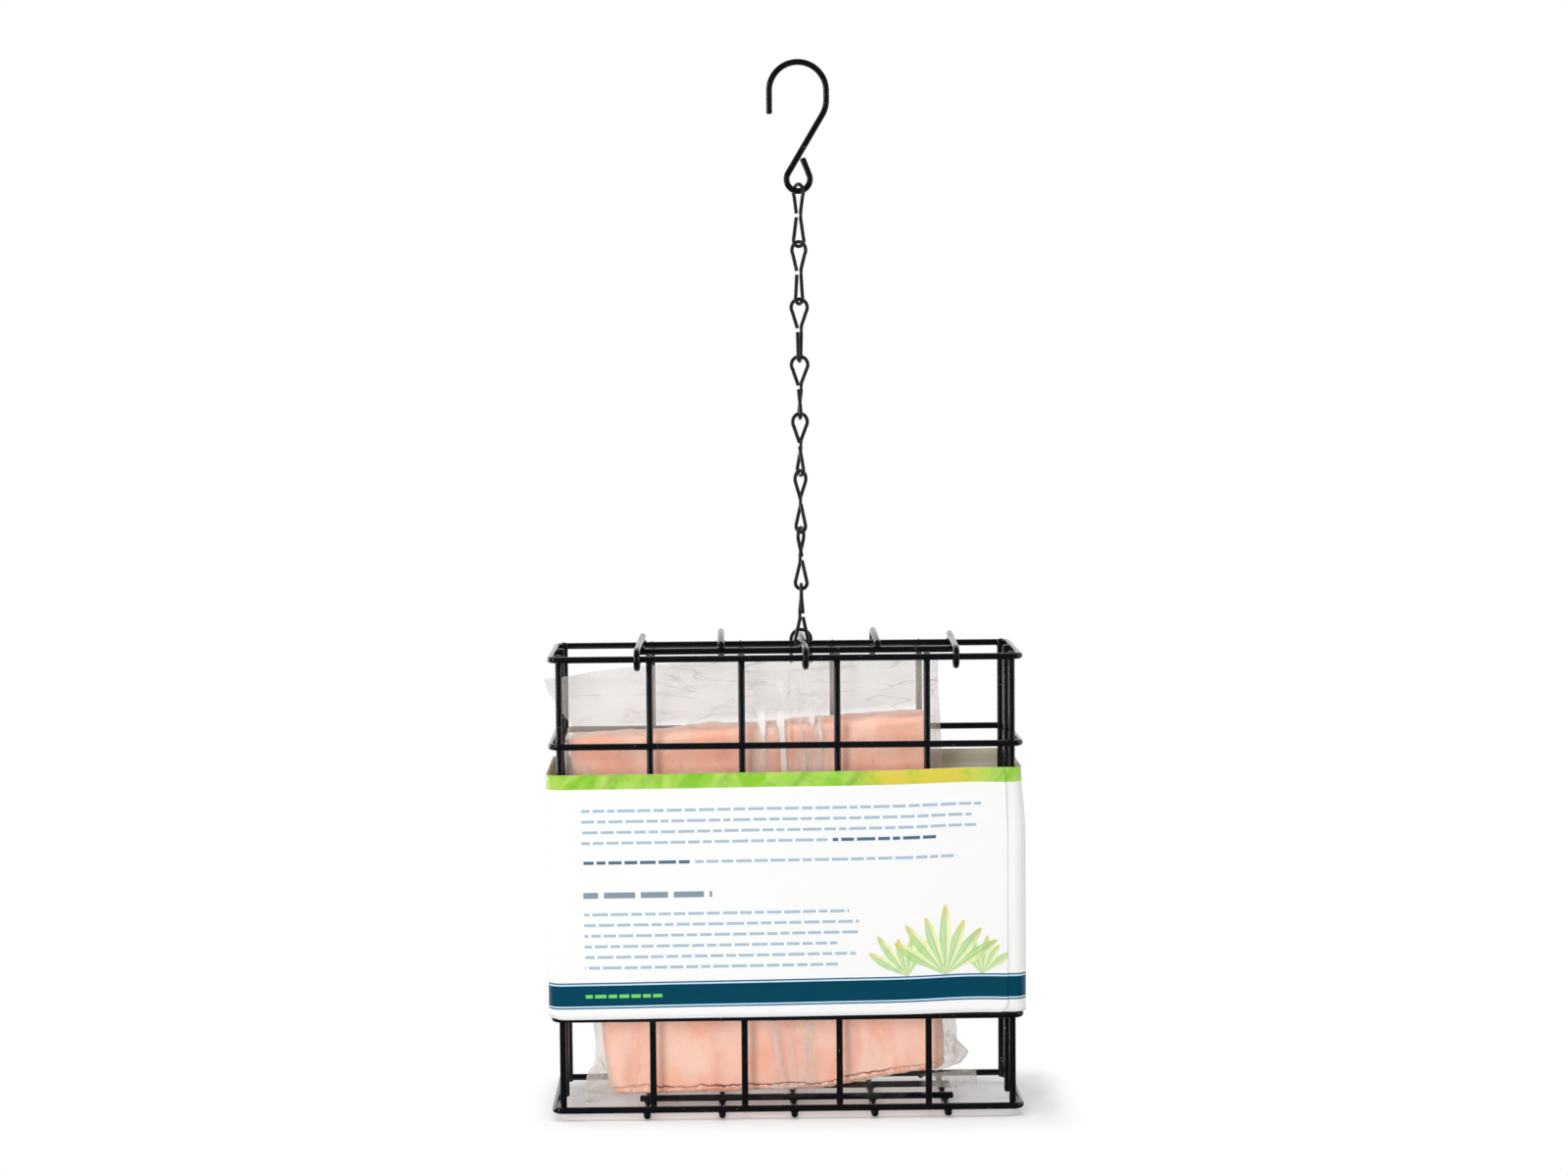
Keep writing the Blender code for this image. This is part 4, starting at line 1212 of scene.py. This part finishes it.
# The flap's two corners are rounded: its edges are trimmed by the corner's radius less the square
# root of its square less the square of how far a point stands into the corner. The foot edge
# lifts in a bell shape where the card is folded at the left corner, and a slow wave runs through
# the card near its overlap.
from_end = reach[-1] - columns
around = columns - (reach[-1] - label_flap)
corner = np.clip(flap_corner - from_end, 0, flap_corner)
trim = flap_corner - np.sqrt(np.clip(flap_corner ** 2 - corner ** 2, 0, None))
left_front = (np.arange(len(columns)) > len(columns) / 2) * (line_y < -label_y + label_radius * 2)
fold_lift = fold_corner * np.exp(-((line_x + label_x) / fold_corner_width) ** 2) * left_front
rows = np.linspace(0, 1, 44)[:, None]
wave = card_wave * np.exp(-((line_x - card_wave_x) / card_wave_width) ** 2) * (line_y < 0)
low = label_foot_height + line_x * tan(label_lean) + trim + 0.5 * fold_lift
high = label_foot_height + label_height + line_x * tan(label_lean) - trim
label_z = low + rows * (high - low) + wave * np.sin(pi * rows * 0.5 + 0.6)
label_v = label_z - label_foot_height - line_x * tan(label_lean) - wave

# Its right end is pinched inward toward the top, and its front and rear bulge in broad lumps.
pinch = right_pinch * ramp(label_v, pinch_from, label_height - pinch_from)
pinch_width = pinch_share * label_radius
right_side = ramp(line_x, label_x - pinch_width, pinch_width)
bulge = lumps(points_at(around, label_v), bulge_size, bulge_seed, bulge_waves)
bulge = card_bulge * (1 + bulge) / 2
outward_y = np.where(np.abs(line_y) > label_y - bulge_edge, np.sign(line_y), 0.0)
label_points = points_at(line_x - pinch * right_side,
                         line_y + np.clip(bulge, 0, None) * outward_y, label_z)

printed = Finish(bpy.data.materials.new("printed_card"))
u = printed.stored("print_along")
v = printed.stored("print_up")
slope = printed.stored("print_slant")


def band(value, low, high, soft=0.08):
    """1 between two places on the card and 0 outside them: a rise at the one times what is left
    of a rise at the other."""
    return value.rise(low - soft, low + soft) * (1 - value.rise(high - soft, high + soft))


def bar_rows(first, count, left, right, ragged=0.1, thick=0.92, pitch=3.40, bar=5.0):
    """Rows of plain bars, counted up from the first: each row is cut into bars of uneven length,
    and its right end falls short by an uneven amount."""
    row = ((v - (first - pitch / 2)) / pitch).math("FLOOR")
    row = row.most(0.0).least(count - 1.0)
    off_row = (v - first - row * pitch).size()
    cells = printed.node("ShaderNodeTexVoronoi",
                         {"voronoi_dimensions": "1D", "feature": "DISTANCE_TO_EDGE"},
                         {"W": u / bar + row * 7.31 + first, "Scale": 1.0, "Randomness": 0.8})
    short = printed.chance(row + first)
    ends = (right - short * ragged) - u
    return ((1 - off_row.rise(thick / 2 - 0.12, thick / 2 + 0.12)) * cells.rise(0.07, 0.11)
            * u.rise(left - 0.1, left + 0.1) * ends.rise(0.0, 0.2))


def leaf_fan(centre_u, centre_v, reach, width, count, spread_angle, lean):
    """A fan of plain pointed leaves about one foot: the angle round the foot is folded into
    equal shares, and each leaf is as wide at a distance as that distance times what is left."""
    across, up = u - centre_u, v - centre_v
    distance = (across * across + up * up) ** 0.5
    angle = printed.node("ShaderNodeMath", {"operation": "ARCTAN2"}, {0: across, 1: up}) - lean
    share = spread_angle / count
    number = (angle / share + 0.5).math("FLOOR")
    off_leaf = (angle - number * share) * distance
    full = reach * (0.72 + 0.28 * printed.chance(number + centre_u))
    way = distance / full
    half = (way * (1 - way)).most(0.0) ** 0.75 * width * 2.4
    inside = (1 - (off_leaf.size() - half).rise(-0.12, 0.10)) * (1 - way.rise(0.97, 1.0))
    inside = inside * (1 - number.size().rise(count / 2 - 0.2, count / 2 + 0.2)) * up.rise(-0.1, 0.1)
    return inside, off_leaf / half.most(0.05), way


# The print's tables, a row each: a leaf fan's foot, reach, leaf width, number of leaves, sweep and
# lean; a block of bars' first row, number of rows, left and right end and raggedness; a line's
# lower and upper edge and its colour.
rear_middle = -(2 * label_x + 2 * label_y) * 1000 + 4.0
leaf_fans = ((38.0, 12.0, 17.0, 1.9, 5, 1.9, -0.25), (61.5, 12.0, 14.0, 1.7, 5, 1.9, 0.15),
             (50.0, 12.0, 24.0, 2.3, 7, 2.3, 0.0), (rear_middle - 22.0, 12.0, 26.0, 2.9, 7, 2.2, 0.12),
             (rear_middle + 22.0, 12.0, 26.0, 2.9, 7, 2.2, -0.12),
             (rear_middle, 12.0, 36.0, 3.8, 9, 2.5, 0.0))
fine_bars = ((59.7, 3, -64.8, 63.5, 5.0), (56.3, 1, -64.8, 13.0), (50.0, 1, -29.0, 54.0),
             (16.5, 6, -64.2, 22.8, 7.0))
bold_bars = ((56.3, 1, 14.5, 48.0), (50.0, 1, -64.6, -30.5))
teal_lines = ((3.35, 11.75, line_teal), (3.85, 11.25, line_pale), (4.25, 10.80, band_teal))

print_place = printed.node("ShaderNodeCombineXYZ", None, {0: u, 1: v})
grass = printed.noise(print_place, grass_size, 3.0, 0.6, stretch=(1.0, 0.8, 1.0), distortion=0.8)
slanted = printed.node("ShaderNodeCombineXYZ", None, {0: u - v * 0.8, 1: v * 0.25})
blades = printed.noise(slanted, blade_size, 1.0)
grass_colour = printed.layers(grass_green, (grass.rise(0.36, 0.64), grass_pale),
                              (blades.rise(0.42, 0.85) * 0.60, grass_dark),
                              (band(u, *yellow_band) * grass.rise(0.25, 0.50), grass_yellow))
colour = card_white
for fan in leaf_fans:
    inside, off_rib, way = leaf_fan(*fan)
    leaf_colour = printed.layers(leaf_green, (off_rib.rise(-0.9, 0.9), leaf_pale),
                                 ((1 - off_rib.size().rise(0.05, 0.22)) * 0.55, leaf_dark),
                                 (way.rise(0.72, 1.0), grass_yellow),
                                 (blades.rise(0.50, 0.72) * 0.35, leaf_dark))
    colour = printed.layers(colour, (inside * 0.85, leaf_colour))
fine = bar_rows(54.5, 1, rear_middle - 27, rear_middle + 27, thick=1.1, bar=7.0)
for block in fine_bars:
    fine = fine.most(bar_rows(*block))
bold = bar_rows(39.6, 1, -64.4, -23.5, thick=1.9, pitch=6.0, bar=10.0)
bold = bold.most(bar_rows(61.0, 1, rear_middle - 38, rear_middle + 38, thick=3.4, pitch=9.0, bar=21.0))
bold = bold * 0.8
for block in bold_bars:
    bold = bold.most(bar_rows(*block, thick=1.05))
green = bar_rows(7.4, 1, -64.0, -39.5, thick=1.1, pitch=6.0, bar=4.0)
teal = [(band(slope, low_edge, high_edge), tint) for low_edge, high_edge, tint in teal_lines]
colour = printed.layers(colour, (fine, print_fine), (bold, print_bold), *teal, (green, print_green),
                        (v.rise(*grass_edge), grass_colour))
varnish = printed.noise(print_place, varnish_size)
printed.paint({"Base Color": colour, "Specular IOR Level": 0.2, "Roughness": 0.16 + 0.10 * varnish,
               "Normal": printed.relief(0.5, varnish_depth, varnish)})

plain_card = Finish(bpy.data.materials.new("plain_card"))
inner_v = plain_card.stored("print_up")
fibres = plain_card.noise(plain_card.place(), fibre_size, 3.0, 0.65)
inner_colour = plain_card.layers(card_grey, (inner_v.rise(*grass_edge_inside), card_olive),
                                 (fibres.rise(0.35, 0.75) * 0.25, card_fibre))
plain_card.paint({"Base Color": inner_colour, "Roughness": 0.7})
label = add_piece("label_card", ((cage + label_points).reshape(-1, 3),
                                 grid_faces(len(rows), len(columns), False, False)),
                  [printed, plain_card], "basket", ["label_sleeve"])
add_weights(label, print_along=np.broadcast_to(around, label_v.shape) * 1000, print_up=label_v * 1000,
            print_slant=label_v * 1000 - (line_x * 1000 + band_slant_from) * band_slant)
thicken = label.modifiers.new("card", "SOLIDIFY")
thicken.thickness = card
thicken.offset = 0
thicken.use_even_offset = True
thicken.material_offset = 1
thicken.material_offset_rim = 1
